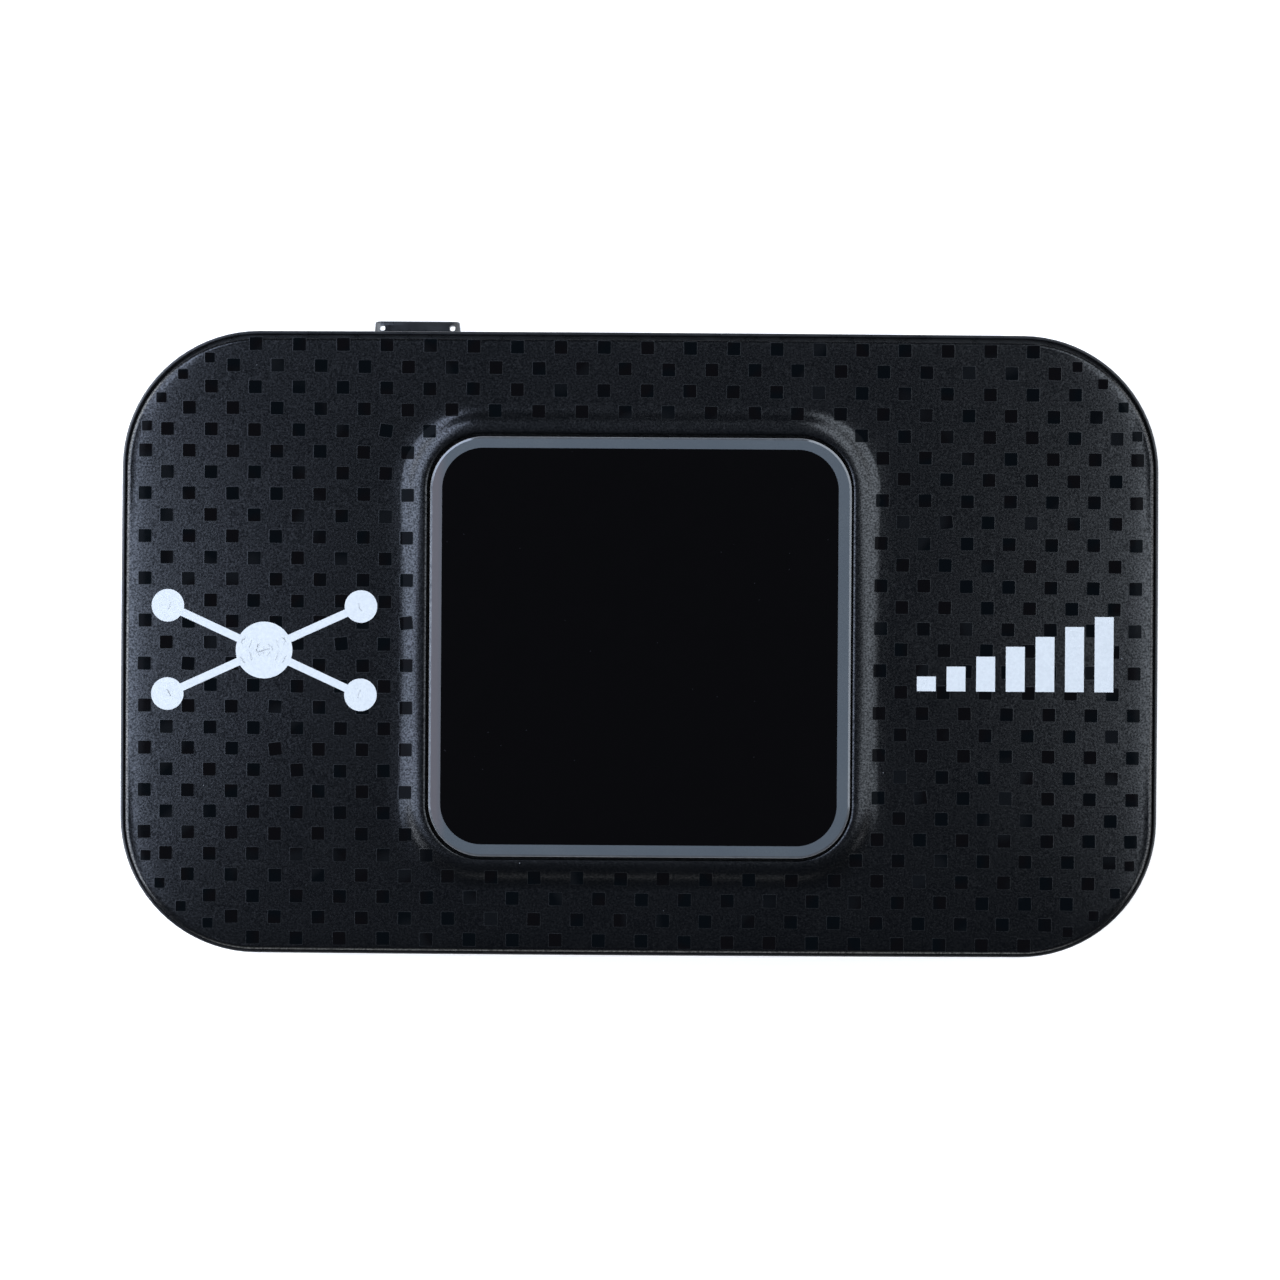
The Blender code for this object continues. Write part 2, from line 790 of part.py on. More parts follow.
def reset_switch():
    """The small key on the underside of the board, pressed from the battery bay."""
    high = BOARD_LOW - GAP
    low = high - 0.9
    body = plate("reset_switch_body", 1.6, 1.4, low, high, "socket_steel", centre=RESET)
    cut(body, cylinder("reset_mouth", RESET, 0.65, low - OVER, high - 0.25))
    plunger = cylinder("reset_switch_plunger", RESET, 0.5, low - 0.4, high - 0.55, "ivory_plastic")
    return body, plunger


# ---------------------------------------------------------------- antennas


def antenna_carrier(name, ends):
    """A plastic carrier beside the board, hollow underneath."""
    x0, x1 = ends
    half, wall = CARRIER_HALF, 0.8
    low = WEB_HIGH + 0.15
    carrier = block(name, (x0, -half, low), (x1, half, CARRIER_TOP), "chip_black")
    hollow = block(
        name + "_hollow",
        (x0 + wall, wall - half, low - OVER),
        (x1 - wall, half - wall, CARRIER_TOP - wall),
    )
    cut(carrier, hollow)
    return carrier


def antenna_foil(name, ends, tail_x, tail_y):
    """A thin stamped foil on the carrier, slotted into one folded path, with a tail that reaches
    over the board."""
    x0, x1 = ends
    low, high = FOIL_LEVELS
    half = CARRIER_HALF - 0.6
    foil = block(name, (x0 + 0.4, -half, low), (x1 - 0.4, half, high), "gold_contact")
    tail = block(
        name + "_tail",
        (min(tail_x, x0 + 1), tail_y - 0.9, low),
        (max(tail_x, x1 - 1), tail_y + 0.9, high),
    )
    join(foil, tail)
    slots = 5
    pitch = 2 * half / (slots + 1)
    for index in range(slots):
        y = pitch * (index + 1) - half
        start, end = (x0 - OVER, x1 - 1.3) if index % 2 else (x0 + 1.3, x1 + OVER)
        slot = block(
            name + "_slot", (start, y - 0.35, low - OVER), (end, y + 0.35, high + OVER)
        )
        cut(foil, slot)
    return foil


def antenna_clip(name, x, y):
    """A C-shaped spring on the board that presses up on the foil's tail."""
    base = BOARD_HIGH + GAP + 0.08
    top = FOIL_LEVELS[0] - 0.13
    bow = [(-0.6, base), (0.6, base), (0.75, base + 0.9), (0.45, top - 0.05), (-0.5, top)]
    return ribbon(name, bow, 1.2, 0.12, "gold_contact", (x, y, 0))


def antenna_wifi():
    """A stamped inverted F standing on the board."""
    low, high = BOARD_HIGH + 1.7, BOARD_HIGH + 1.85
    strip = block("antenna_wifi", (24.0, -22.2, low), (33.0, -20.7, high), "gold_contact")
    for x in (24.0, 27.5):
        leg = block("wifi_leg", (x, -20.9, BOARD_HIGH + GAP), (x + 0.9, -20.7, low + 0.1))
        join(strip, leg)
    return strip


def antennas():
    """Carriers and foils at both ends of the board, their clips, and the small one on the board."""
    main_tail, far_tail = (-37.4, 13.0), (38.6, -13.0)
    return [
        antenna_carrier("antenna_main_carrier", MAIN_CARRIER_X),
        antenna_foil("antenna_main_foil", MAIN_CARRIER_X, *main_tail),
        antenna_carrier("antenna_diversity_carrier", FAR_CARRIER_X),
        antenna_foil("antenna_diversity_foil", FAR_CARRIER_X, *far_tail),
        antenna_clip("antenna_clip_main", main_tail[0] - 0.6, main_tail[1]),
        antenna_clip("antenna_clip_diversity", far_tail[0] + 0.8, far_tail[1]),
        antenna_wifi(),
    ]


def screws():
    """One screw at each post: the head stands under the web and the shank goes up the bore."""
    made = []
    head_high = WEB_LOW - 0.1
    head_low = head_high - 0.9
    for number, place in enumerate(SCREWS, start=1):
        name = f"screw_{number}"
        head = cylinder(name, place, HEAD_RADIUS, head_low, head_high, "screw_steel")
        shank = cylinder("shank", place, SHANK_RADIUS, head_high - 0.4, COVER_INSIDE - 0.9)
        join(head, shank)
        made.append(head)
    return made


# ---------------------------------------------------------------- assembly

rear = back_cover()
pack = battery()
card = sim_card()
button = power_button()
switch_body, switch_plunger = power_switch()
reset_body, reset_plunger = reset_switch()
fixed = [
    mid_housing(),
    front_cover(),
    screen_lens(),
    *display_parts(),
    main_board(),
    *electronics(),
    usb_shell(),
    usb_tongue(),
    sim_holder(),
    *battery_contacts(),
    switch_body,
    reset_body,
    *antennas(),
    *screws(),
]

wall_inside = BODY_WIDTH / 2 - HOUSING_WALL
housing = group("housing_lift_axis", (0, 0, HOUSING_LOW), fixed)
root = group("back_cover_rest", (0, 0, 0), [rear])
lift = group("battery_lift_axis", (0, 0, BATTERY_LOW), [pack])
for empty in (
    group("sim_slide_axis", (SIM_X[0], 0, SIM_LOW), [card]),
    group("power_button_axis", (BUTTON_X, wall_inside, sum(BUTTON_LEVELS) / 2), [button]),
    group("power_switch_axis", (BUTTON_X, wall_inside, sum(PLUNGER_LEVELS) / 2), [switch_plunger]),
    group("reset_axis", (*RESET, WEB_LOW), [reset_plunger]),
):
    empty.parent = housing
    empty.location = empty.location - housing.location
for empty in (housing, lift):
    empty.parent = root
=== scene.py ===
"""Looks of the mobile hotspot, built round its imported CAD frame.

Lengths are in millimetres, and the helpers turn them into metres. The frame gives every place: the
object lies on its back, with +X along the body, +Y towards the power button and +Z out of the screen.
"""

import json
import math
import random

import bmesh
import bpy
import numpy as np
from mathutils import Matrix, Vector


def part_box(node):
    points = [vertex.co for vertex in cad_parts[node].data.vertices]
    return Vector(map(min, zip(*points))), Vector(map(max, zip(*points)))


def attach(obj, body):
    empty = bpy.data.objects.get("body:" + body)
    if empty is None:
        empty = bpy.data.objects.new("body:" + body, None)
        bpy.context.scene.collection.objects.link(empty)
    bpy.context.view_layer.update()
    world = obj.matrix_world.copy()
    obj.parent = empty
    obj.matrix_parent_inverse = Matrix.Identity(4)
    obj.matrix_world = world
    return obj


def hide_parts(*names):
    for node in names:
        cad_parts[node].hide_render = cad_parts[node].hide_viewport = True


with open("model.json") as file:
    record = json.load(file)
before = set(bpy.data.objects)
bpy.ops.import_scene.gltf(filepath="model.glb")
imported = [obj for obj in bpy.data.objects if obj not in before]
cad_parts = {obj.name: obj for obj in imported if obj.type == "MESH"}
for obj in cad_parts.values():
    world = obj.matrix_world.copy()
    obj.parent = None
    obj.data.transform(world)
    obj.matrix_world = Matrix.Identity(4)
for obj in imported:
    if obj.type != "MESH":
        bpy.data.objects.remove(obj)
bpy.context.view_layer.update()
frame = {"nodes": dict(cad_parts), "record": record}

MM = 0.001

# How finely the outlines are divided.
CORNER_STEPS = 20
SIDE_STEPS = 14

# The body's sides bow out a little towards their middles.
BOW = 0.12
BODY_CORNER = 12.9

SEAM = 0.2  # the back cover stands this far inside the housing
RIM = 0.35  # width of the thin rim round the front cover
WALL = 1.4
WALL_FOOT = 0.3  # radius of the housing's lower edge
RIM_OUTER = 0.19  # radii of the rim's outer and inner edges
RIM_INNER = 0.13
KEY_X = -21.45
KEY_HALF = 4.25
KEY_LEVELS = (7.8, 10.2)

# Front cover.
COVER_CORNER = 12.3
COVER_WALL = 1.2
COVER_EDGE = 0.65  # radius of its rounded edge
COVER_MIDDLE = -0.18  # the cover sits a little towards -Y in its frame
EDGE_TILT = 9.5  # slope of the face, in degrees, where that edge begins
EDGE_END = 45  # slope where it ends, above an upright side
CROWN = 0.83  # how far the face falls away towards the edge
CROWN_REACH = 25.0
CROWN_POWER = 1.7
CROWN_BLEND = 5.2  # softens the ridge where the falls towards two sides meet
ROLL = 0.1  # further fall close to the edge
ROLL_REACH = 0.77
ISLAND_HALF = 22.9
ISLAND_CORNER = 7.9
ISLAND_RISE = 0.24
ISLAND_SLOPE = 2.15  # width of the sloping border of the island
OPENING_HALF = 20.28
OPENING_CORNER = 5.3
OPENING_EDGE = 0.12
UNDER_LENS = 0.25  # space for the adhesive
OVER_GASKET = 0.06
VIEW_HALF = 18.2
VIEW_CORNER = 2.5

# Fasteners and the tabs that hold the back cover.
SCREW_COUNT = 6
POST_RADIUS = 1.8
POST_BORE = 0.8
WEB_HOLE = 0.95
TABS_X = (-27.0, 0.0, 27.0)

# Screen lens.
LENS_X = 0.06
LENS_DOWN = -0.03
LENS_NARROWER = 0.08  # its half width along Y is this much less than along X
LENS_GAP = 0.07  # it is this much smaller than its CAD outline on each side
LENS_CORNER = 5.1
LENS_BEVEL = 0.2
LENS_FALL = 0.06  # how far the top drops across that bevel
WINDOW_HALF = 18.85
WINDOW_CORNER = 3.9

# Pattern of small polished squares: a staggered grid on a film that is laid a little off centre,
# a little turned, and stretched unevenly.
PITCH_X = 2.048
PITCH_Y = 2.018
SQUARE = 1.23
SQUARE_ROUND = 0.1
SQUARE_LIP = 0.06  # each polished square lies inside a faint lip
LIP_HEIGHT = 0.012
ROOT = 0.05  # how far a square or a print reaches down into the face
ARC_SQUARE = 0.96
ARC_RADIUS = 11.25
ARC_CENTRE = (36.4, 16.7)
ARC_START = 19.6
ARC_STEP = 15.2
FILM_SHIFT = (0.45, -0.28)
FILM_TURN = 0.0045
FILM_STRETCH = (-0.0002, 0.00028)
FILM_TWIST = 0.00016

PRINT_HEIGHT = 0.035


# ---- measures from the frame


def box(node):
    """Lowest and highest corner of a CAD node, in millimetres."""
    low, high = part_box(node)
    return low / MM, high / MM


cover_low, cover_high = box("front_cover")
frame_low, frame_high = box("mid_housing")
rear_low, rear_high = box("back_cover")
lens_low, lens_high = box("screen_lens")
COVER_X, COVER_Y = cover_high.x, cover_high.y
LENS_Y = (lens_low.y + lens_high.y) / 2
LENS_HALF = lens_high.x - LENS_GAP
rear_half_y = rear_high.y
WEB_LOW, WEB_HIGH = frame_low.z + 2.1, frame_low.z + 3.1  # the web under the board
FACE = cover_high.z - ISLAND_RISE  # level of the flat part of the face


# ---- outlines and surfaces


def between(first, second, share):
    """What lies at a share of the way from first to second."""
    return first + (second - first) * share


def outline(half_x, half_y, corner, centre_y=0.0, bow=0.0):
    """Points round a rectangle with round corners, anticlockwise from its right side. Every outline
    has the same number of points, so that any two can be joined by faces."""
    arcs = []
    for quarter, (side_x, side_y) in enumerate(((1, 1), (-1, 1), (-1, -1), (1, -1))):
        middle = np.array([side_x * (half_x - corner), side_y * (half_y - corner)])
        angles = math.pi / 2 * (quarter + np.arange(CORNER_STEPS + 1) / CORNER_STEPS)
        arcs.append(middle + corner * np.column_stack([np.cos(angles), np.sin(angles)]))
    shares = np.arange(1, SIDE_STEPS)[:, None] / SIDE_STEPS
    points = []
    for number, corner_points in enumerate(arcs):
        after = arcs[(number + 1) % 4][0]
        points += [corner_points, between(corner_points[-1], after, shares)]
    points = np.vstack(points)
    if bow:
        x, y = points.T / np.array([[half_x], [half_y]])
        points = points - bow * np.stack([np.sign(x) * y**2 * abs(x), np.sign(y) * x**2 * abs(y)], 1)
    points[:, 1] += centre_y
    return points


def lens_square(half, corner):
    """A square outline centred on the lens."""
    return outline(half, half, corner, LENS_Y)


def inset(points, half_x, half_y, corner, centre_y=0.0):
    """How far each point lies inside a rectangle with round corners."""
    points = np.atleast_2d(points)
    q = np.abs(points - (0.0, centre_y)) - (half_x - corner, half_y - corner)
    outside = np.hypot(*np.maximum(q, 0).T)
    return corner - outside - np.minimum(q.max(1), 0)


def from_cover_edge(points):
    """How far each point lies inside the front cover's outline."""
    return inset(points, COVER_X, COVER_Y, COVER_CORNER, COVER_MIDDLE)


def in_island(points):
    """How far each point lies inside the foot of the raised island."""
    return inset(points, ISLAND_HALF, ISLAND_HALF, ISLAND_CORNER, LENS_Y)


def face_height(points):
    """Level of the front face at each point: the flat middle, the fall towards the edge and the
    raised island."""
    points = np.atleast_2d(points)
    edge = np.maximum(from_cover_edge(points), 0)
    from_middle = np.abs(points - (0.0, COVER_MIDDLE))
    sides = np.exp((from_middle - (COVER_X, COVER_Y)) / CROWN_BLEND)
    broad = np.clip(-CROWN_BLEND * np.log(sides.sum(1)), 0, CROWN_REACH)
    fall = CROWN * (1 - broad / CROWN_REACH) ** CROWN_POWER + ROLL * np.exp(-edge / ROLL_REACH)
    share = np.clip(in_island(points) / ISLAND_SLOPE, 0, 1)
    share = share + np.sin(2 * math.pi * share) * -0.09
    return FACE - fall + (ISLAND_RISE + fall) * share


def ring(points, level):
    """An outline lifted to one level, or to a level for each point."""
    return np.column_stack([points, np.full(len(points), level)])


# ---- meshes


def new_object(name, shape, materials=(), smooth=35.0):
    """An object from a bmesh in millimetres, whose edges look sharp above an angle in degrees."""
    bmesh.ops.recalc_face_normals(shape, faces=shape.faces)
    bmesh.ops.scale(shape, vec=(MM, MM, MM), verts=shape.verts)
    mesh = bpy.data.meshes.new(name)
    shape.to_mesh(mesh)
    shape.free()
    for material in materials:
        mesh.materials.append(material)
    mesh.shade_smooth()
    mesh.set_sharp_from_angle(angle=math.radians(smooth))
    made = bpy.data.objects.new(name, mesh)
    bpy.context.scene.collection.objects.link(made)
    return made


def piece(name, shape, body, slot, *materials, smooth=35.0):
    """A visible object that rides on a CAD body."""
    made = new_object(name, shape, materials, smooth)
    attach(made, body)
    return made


def loft(shape, rings, closed=True, bands=None):
    """Joins neighbouring rings with faces. A closed loft joins the last ring to the first, and an
    open one is capped. Bands are the material numbers of the strips between the rings."""
    loops = [[shape.verts.new(point) for point in points] for points in rings]
    pairs = list(zip(loops, loops[1:]))
    if closed:
        pairs.append((loops[-1], loops[0]))
    for number, (one, two) in enumerate(pairs):
        count = len(one)
        for step in range(count):
            after = (step + 1) % count
            face = shape.faces.new((one[step], one[after], two[after], two[step]))
            if bands:
                face.material_index = bands[number]
    if not closed:
        shape.faces.new(loops[0])
        top = shape.faces.new(loops[-1])
        if bands:
            top.material_index = bands[-1]
    return shape


def bevel(shape, edges, radius, steps):
    """Rounds some edges of a bmesh."""
    bmesh.ops.bevel(shape, geom=edges, offset=radius, segments=steps, profile=0.5, affect="EDGES")


def box_shape(low, high, corner=0.0, along="Z", edge=0.0):
    """A box whose edges along one axis are rounded by corner, and all sharp ones then by edge."""
    axis = "XYZ".index(along)
    low, high = Vector(low), Vector(high)
    size = high - low
    shape = bmesh.new()
    bmesh.ops.create_cube(shape, size=1.0)
    bmesh.ops.scale(shape, vec=size, verts=shape.verts)
    if corner:
        edges = [
            e for e in shape.edges if abs(e.verts[0].co[axis] - e.verts[1].co[axis]) > size[axis] / 2
        ]
        bevel(shape, edges, corner, 4)
    if edge:
        bevel(shape, [e for e in shape.edges if e.calc_face_angle(0.0) > 1.0], edge, 2)
    bmesh.ops.translate(shape, vec=(low + high) / 2, verts=shape.verts)
    return shape


def merge(target, other):
    """Adds another bmesh to the first, as a further closed shape."""
    mesh = bpy.data.meshes.new("merge")
    other.to_mesh(mesh)
    other.free()
    target.from_mesh(mesh)
    bpy.data.meshes.remove(mesh)


def carve(target, smooth=30.0):
    """Applies the Boolean modifiers and removes their cutters, so that the new edges are shaded
    sharp."""
    cutters = [modifier.object for modifier in target.modifiers]
    graph = bpy.context.evaluated_depsgraph_get()
    mesh = bpy.data.meshes.new_from_object(target.evaluated_get(graph), depsgraph=graph)
    target.modifiers.clear()
    target.data = mesh
    mesh.set_sharp_from_angle(angle=math.radians(smooth))
    for used in cutters:
        bpy.data.objects.remove(used)


def boolean(target, operation, name, shape):
    """Cuts a hidden shape out of an object, or joins it to the object."""
    hidden = new_object(name, shape)
    hidden.hide_render = True
    hidden.display_type = "WIRE"
    modifier = target.modifiers.new(name, "BOOLEAN")
    modifier.operation = operation
    modifier.solver = "EXACT"
    modifier.object = hidden


# ---- materials


def set_range(node, *numbers):
    """Makes a Map Range node map from the first two numbers to the last two."""
    for name, number in zip(("From Min", "From Max", "To Min", "To Max"), numbers):
        node.inputs[name].default_value = number


def add_node(tree, kind, *feeds, **settings):
    """A node with these settings, whose first inputs take the given outputs."""
    made = tree.nodes.new(kind)
    for key, value in settings.items():
        setattr(made, key, value)
    for feed, target in zip(feeds, made.inputs):
        tree.links.new(feed, target)
    return made


class Look:
    """A Principled material with its nodes; coordinates are in millimetres."""

    def __init__(self, name):
        self.material = bpy.data.materials.new(name)
        self.material.use_nodes = True
        self.tree = self.material.node_tree
        self.shader = self.tree.nodes["Principled BSDF"]
        place = self.node("ShaderNodeTexCoord").outputs["Object"]
        scale = self.node("ShaderNodeVectorMath", place, operation="SCALE")
        scale.inputs["Scale"].default_value = 1 / MM
        self.place = scale.outputs[0]
        self.bumps = None

    def node(self, kind, *feeds, **settings):
        return add_node(self.tree, kind, *feeds, **settings)

    def link(self, output, target):
        self.tree.links.new(output, target)

    def set(self, name, value):
        self.shader.inputs[name].default_value = value

    def noise(self, period, detail=2.0, stretch=(1, 1, 1), distortion=0.0):
        """Noise whose features are about period across."""
        mapping = self.node("ShaderNodeMapping", self.place)
        mapping.inputs["Scale"].default_value = [s / period for s in stretch]
        made = self.node("ShaderNodeTexNoise", mapping.outputs[0])
        made.inputs["Scale"].default_value = 1.0
        made.inputs["Detail"].default_value = detail
        made.inputs["Distortion"].default_value = distortion
        return made.outputs["Fac"]

    def cells(self, period, distance="EUCLIDEAN"):
        """Distance from the nearest of points that lie about period apart, in periods."""
        made = self.node("ShaderNodeTexVoronoi", self.place, distance=distance)
        made.inputs["Scale"].default_value = 1 / period
        return made.outputs["Distance"]

    def stripes(self, period, direction):
        """Straight bands along one axis, from 0 to 1."""
        made = self.node("ShaderNodeTexWave", self.place, bands_direction=direction)
        made.inputs["Scale"].default_value = math.pi / 10 / period
        return made.outputs["Fac"]

    def ramp(self, value, start, end, low, high, clamp=True):
        """Maps value from start..end to low..high."""
        made = self.node("ShaderNodeMapRange", value, clamp=clamp)
        set_range(made, start, end, low, high)
        return made.outputs[0]

    def mix(self, factor, first, second):
        """A colour between two colours; each is three numbers or another output."""
        made = self.node("ShaderNodeMix", factor, data_type="RGBA")
        inputs = [socket for socket in made.inputs if socket.type == "RGBA"]
        for socket, color in zip(inputs, (first, second)):
            if hasattr(color, "node"):
                self.link(color, socket)
            else:
                socket.default_value = (*color, 1.0)
        return [socket for socket in made.outputs if socket.type == "RGBA"][0]

    def blend(self, value, first, second, start=0.3, end=0.7):
        """A colour that goes from first to second as the value goes from start to end."""
        return self.mix(self.ramp(value, start, end, 0, 1), first, second)

    def color(self, output):
        self.link(output, self.shader.inputs["Base Color"])

    def tones(self, *blend):
        """Colours the surface with a blend."""
        self.color(self.blend(*blend))

    def color_input(self):
        """What drives the base colour so far."""
        return self.shader.inputs["Base Color"].links[0].from_socket

    def roughness(self, value, low, high, start=0.3, end=0.7):
        """Varies the roughness from low to high as the value goes from start to end."""
        self.link(self.ramp(value, start, end, low, high), self.shader.inputs["Roughness"])

    def bump(self, height, depth):
        """Adds relief of the given depth, in millimetres, on top of any before it."""
        made = self.node("ShaderNodeBump")
        made.inputs["Distance"].default_value = depth * MM
        self.link(height, made.inputs["Height"])
        if self.bumps:
            self.link(self.bumps, made.inputs["Normal"])
        self.bumps = made.outputs[0]
        self.link(self.bumps, self.shader.inputs["Normal"])

    def coat(self, weight, roughness):
        self.set("Coat Weight", weight)
        self.set("Coat Roughness", roughness)


def as_material(recipe):
    """Turns a function that adds nodes to a Look into the finished material of that name."""
    look = Look(recipe.__name__)
    recipe(look)
    return look.material


@as_material
def satin_black(look):
    """Spark-eroded black plastic with a blue-grey sheen."""
    grain = look.noise(0.22, detail=1.5)
    drift = look.noise(9.0)
    look.tones(drift, (0.0014, 0.0018, 0.0026), (0.0025, 0.0029, 0.0037), 0.35, 0.65)
    dust = look.ramp(look.cells(3.2), 0.014, 0.020, 1, 0)
    look.color(look.mix(dust, look.color_input(), (0.16, 0.17, 0.18)))
    look.roughness(grain, 0.20, 0.26)
    speckle = look.noise(0.16, detail=0)
    look.link(look.ramp(speckle, 0.28, 0.72, 0.27, 0.90), look.shader.inputs["Specular IOR Level"])
    look.bump(grain, 0.005)


@as_material
def gloss_black(look):
    """Polished black of the small squares, each a little warmer or cooler than the next."""
    warm = look.ramp(look.noise(3.1, detail=0.5), 0.42, 0.58, 0, 1)
    tint = look.mix(warm, (0.0022, 0.0031, 0.0040), (0.0032, 0.0030, 0.0035))
    pale = look.ramp(look.noise(4.7, detail=0), 0.62, 0.72, 0, 1)
    look.color(look.mix(pale, tint, (0.0055, 0.0062, 0.0072)))
    look.set("Specular IOR Level", 0.03)
    look.roughness(look.noise(0.5), 0.05, 0.10)


@as_material
def square_lip(look):
    """Satin edge of the squares, a little paler than the face."""
    look.roughness(look.noise(0.3), 0.24, 0.32)
    drift = look.ramp(look.noise(6.0), 0.35, 0.65, 0, 1)
    look.color(look.mix(drift, (0.0025, 0.003, 0.004), (0.006, 0.007, 0.008)))
    look.set("Specular IOR Level", 0.62)


@as_material
def frame_black(look):
    """Semi-gloss black of the outer frame and the key."""
    look.roughness(look.noise(1.2, detail=4), 0.24, 0.38)
    look.tones(look.noise(14.0), (0.006, 0.0065, 0.008), (0.009, 0.0095, 0.011), 0.35, 0.65)
    look.set("Specular IOR Level", 0.6)
    look.bump(look.noise(0.12, detail=2), 0.0012)


@as_material
def rear_black(look):
    """Matt spark texture of the back cover."""
    grain = look.noise(0.3, detail=3)
    look.roughness(grain, 0.42, 0.6)
    look.tones(look.noise(12.0), (0.008, 0.008, 0.009), (0.012, 0.012, 0.013))
    look.bump(grain, 0.014)


@as_material
def lens_border(look):
    """Silver-grey print under the clear lens, with painted light along its left side."""
    look.set("Roughness", 0.45)
    fine = look.noise(0.18, detail=2)
    cloud = look.noise(5.0, detail=3)
    base = look.blend(cloud, (0.062, 0.076, 0.089), (0.074, 0.088, 0.099), 0.35, 0.65)
    shade = look.blend(fine, (0.060, 0.073, 0.085), base)
    across = look.node("ShaderNodeSeparateXYZ", look.place).outputs["X"]
    painted_left_light = look.ramp(across, -19.3, -18.3, 1, 0)  # painted light: the left side, which faces the key light, is lighter and a little warmer
    look.color(look.mix(painted_left_light, shade, (0.101, 0.091, 0.098)))
    look.coat(1.0, 0.04)


@as_material
def lens_window(look):
    """Black back print behind the clear lens, with faint smears and dust."""
    smear = look.noise(2.5, detail=3)
    specks = look.ramp(look.cells(1.7), 0.024, 0.034, 1, 0)
    look.color(look.mix(specks, (0.0017, 0.0016, 0.0020), (0.014, 0.014, 0.017)))
    look.roughness(smear, 0.09, 0.11, 0.35, 0.75)


@as_material
def lens_edge(look):
    """The clear, bevelled edge of the lens, coloured pale grey partly as a painted highlight along the
    bevel.
    """
    fine = look.noise(0.4, detail=3)
    look.roughness(fine, 0.08, 0.2)
    # painted highlight: the pale grey base adds to the bevel's real reflection to brighten its line of
    # light
    look.tones(fine, (0.075, 0.080, 0.088), (0.095, 0.100, 0.106))
    look.set("Specular IOR Level", 1.0)
    look.coat(1.0, 0.05)


@as_material
def white_print(look):
    """Light grey pad print."""
    look.set("Roughness", 0.5)
    look.tones(look.noise(0.3, detail=3), (0.60, 0.63, 0.645), (0.67, 0.70, 0.715))
    look.bump(look.noise(0.15), 0.003)


@as_material
def display_glass(look):
    """Dark panel with the faint grid of its picture cells."""
    columns = look.ramp(look.stripes(0.3, "X"), 0.7, 0.9, 0, 1)
    rows = look.ramp(look.stripes(0.3, "Y"), 0.7, 0.9, 0, 1)
    cells = look.mix(columns, (0.012, 0.013, 0.018), (0.006, 0.006, 0.008))
    look.color(look.mix(rows, cells, (0.006, 0.006, 0.008)))
    look.roughness(look.noise(5.0, detail=3), 0.08, 0.2)


@as_material
def display_silver(look):
    """Reflector tray of the display."""
    look.set("Metallic", 0.6)
    look.roughness(look.noise(0.4, detail=3, stretch=(0.1, 1, 1)), 0.25, 0.5)
    look.tones(look.noise(7.0), (0.50, 0.51, 0.53), (0.60, 0.61, 0.63))
    look.bump(look.noise(0.5, stretch=(0.1, 1, 1)), 0.004)


@as_material
def foam_black(look):
    """Open-celled foam tape."""
    holes = look.cells(0.3)
    look.tones(holes, (0.010, 0.010, 0.010), (0.035, 0.035, 0.034), 0.1, 0.6)
    look.roughness(look.noise(0.6, detail=3), 0.85, 1.0)
    look.bump(holes, 0.05)


@as_material
def ribbon_amber(look):
    """Amber film over copper tracks."""
    tracks = look.ramp(look.stripes(0.5, "X"), 0.45, 0.6, 0, 1)
    film = look.blend(look.noise(2.0, detail=3), (0.30, 0.11, 0.02), (0.38, 0.15, 0.035))
    look.color(look.mix(tracks, film, (0.52, 0.24, 0.06)))
    look.roughness(tracks, 0.4, 0.28, 0, 1)
    look.bump(tracks, 0.012)


@as_material
def board_mask(look):
    """Green solder mask over copper tracks, with plated holes."""
    maze = look.ramp(look.cells(2.6, distance="MANHATTAN"), 0, 0.35, 0, 2, clamp=False)
    folded = look.node("ShaderNodeMath", maze, operation="PINGPONG")
    folded.inputs[1].default_value = 1.0
    lines = look.ramp(folded.outputs[0], 0.5, 0.65, 0, 1)
    where = look.ramp(look.noise(9.0, detail=1), 0.45, 0.52, 0, 1)
    copper = look.node("ShaderNodeMath", lines, where, operation="MULTIPLY").outputs[0]
    mask = look.blend(look.noise(1.0, detail=3), (0.006, 0.055, 0.026), (0.010, 0.075, 0.034))
    tracks = look.mix(copper, mask, (0.022, 0.13, 0.050))
    hole = look.cells(2.2)
    plated = look.ramp(hole, 0.085, 0.10, 1, 0)
    drilled = look.ramp(hole, 0.045, 0.055, 1, 0)
    look.color(look.mix(drilled, look.mix(plated, tracks, (0.55, 0.40, 0.16)), (0.004, 0.006, 0.005)))
    look.link(look.ramp(plated, 0, 1, 0.0, 0.9), look.shader.inputs["Metallic"])
    look.roughness(copper, 0.42, 0.3, 0, 1)
    look.bump(copper, 0.02)


@as_material
def tin_sheet(look):
    """Tinned sheet with faint rolling marks and cloudy patches."""
    look.set("Metallic", 1.0)
    streaks = look.noise(0.5, detail=4, stretch=(1, 0.05, 1))
    clouds = look.noise(6.0, detail=3, distortion=0.6)
    look.tones(clouds, (0.48, 0.47, 0.44), (0.60, 0.59, 0.56), 0.35, 0.65)
    look.roughness(streaks, 0.28, 0.48)
    look.bump(streaks, 0.004)


@as_material
def chip_resin(look):
    """Matt moulding resin with a fine grain."""
    grain = look.noise(0.12, detail=2)
    look.tones(grain, (0.012, 0.012, 0.014), (0.024, 0.024, 0.026))
    look.roughness(look.noise(2.5, detail=3), 0.42, 0.62)
    look.bump(grain, 0.010)


@as_material
def steel_sheet(look):
    """Bright rolled steel of sockets and holders."""
    look.set("Metallic", 1.0)
    streaks = look.noise(0.4, detail=4, stretch=(0.04, 1, 1))
    look.tones(look.noise(4.0, detail=2), (0.54, 0.54, 0.55), (0.66, 0.66, 0.65))
    look.roughness(streaks, 0.2, 0.38)
    look.bump(streaks, 0.003)


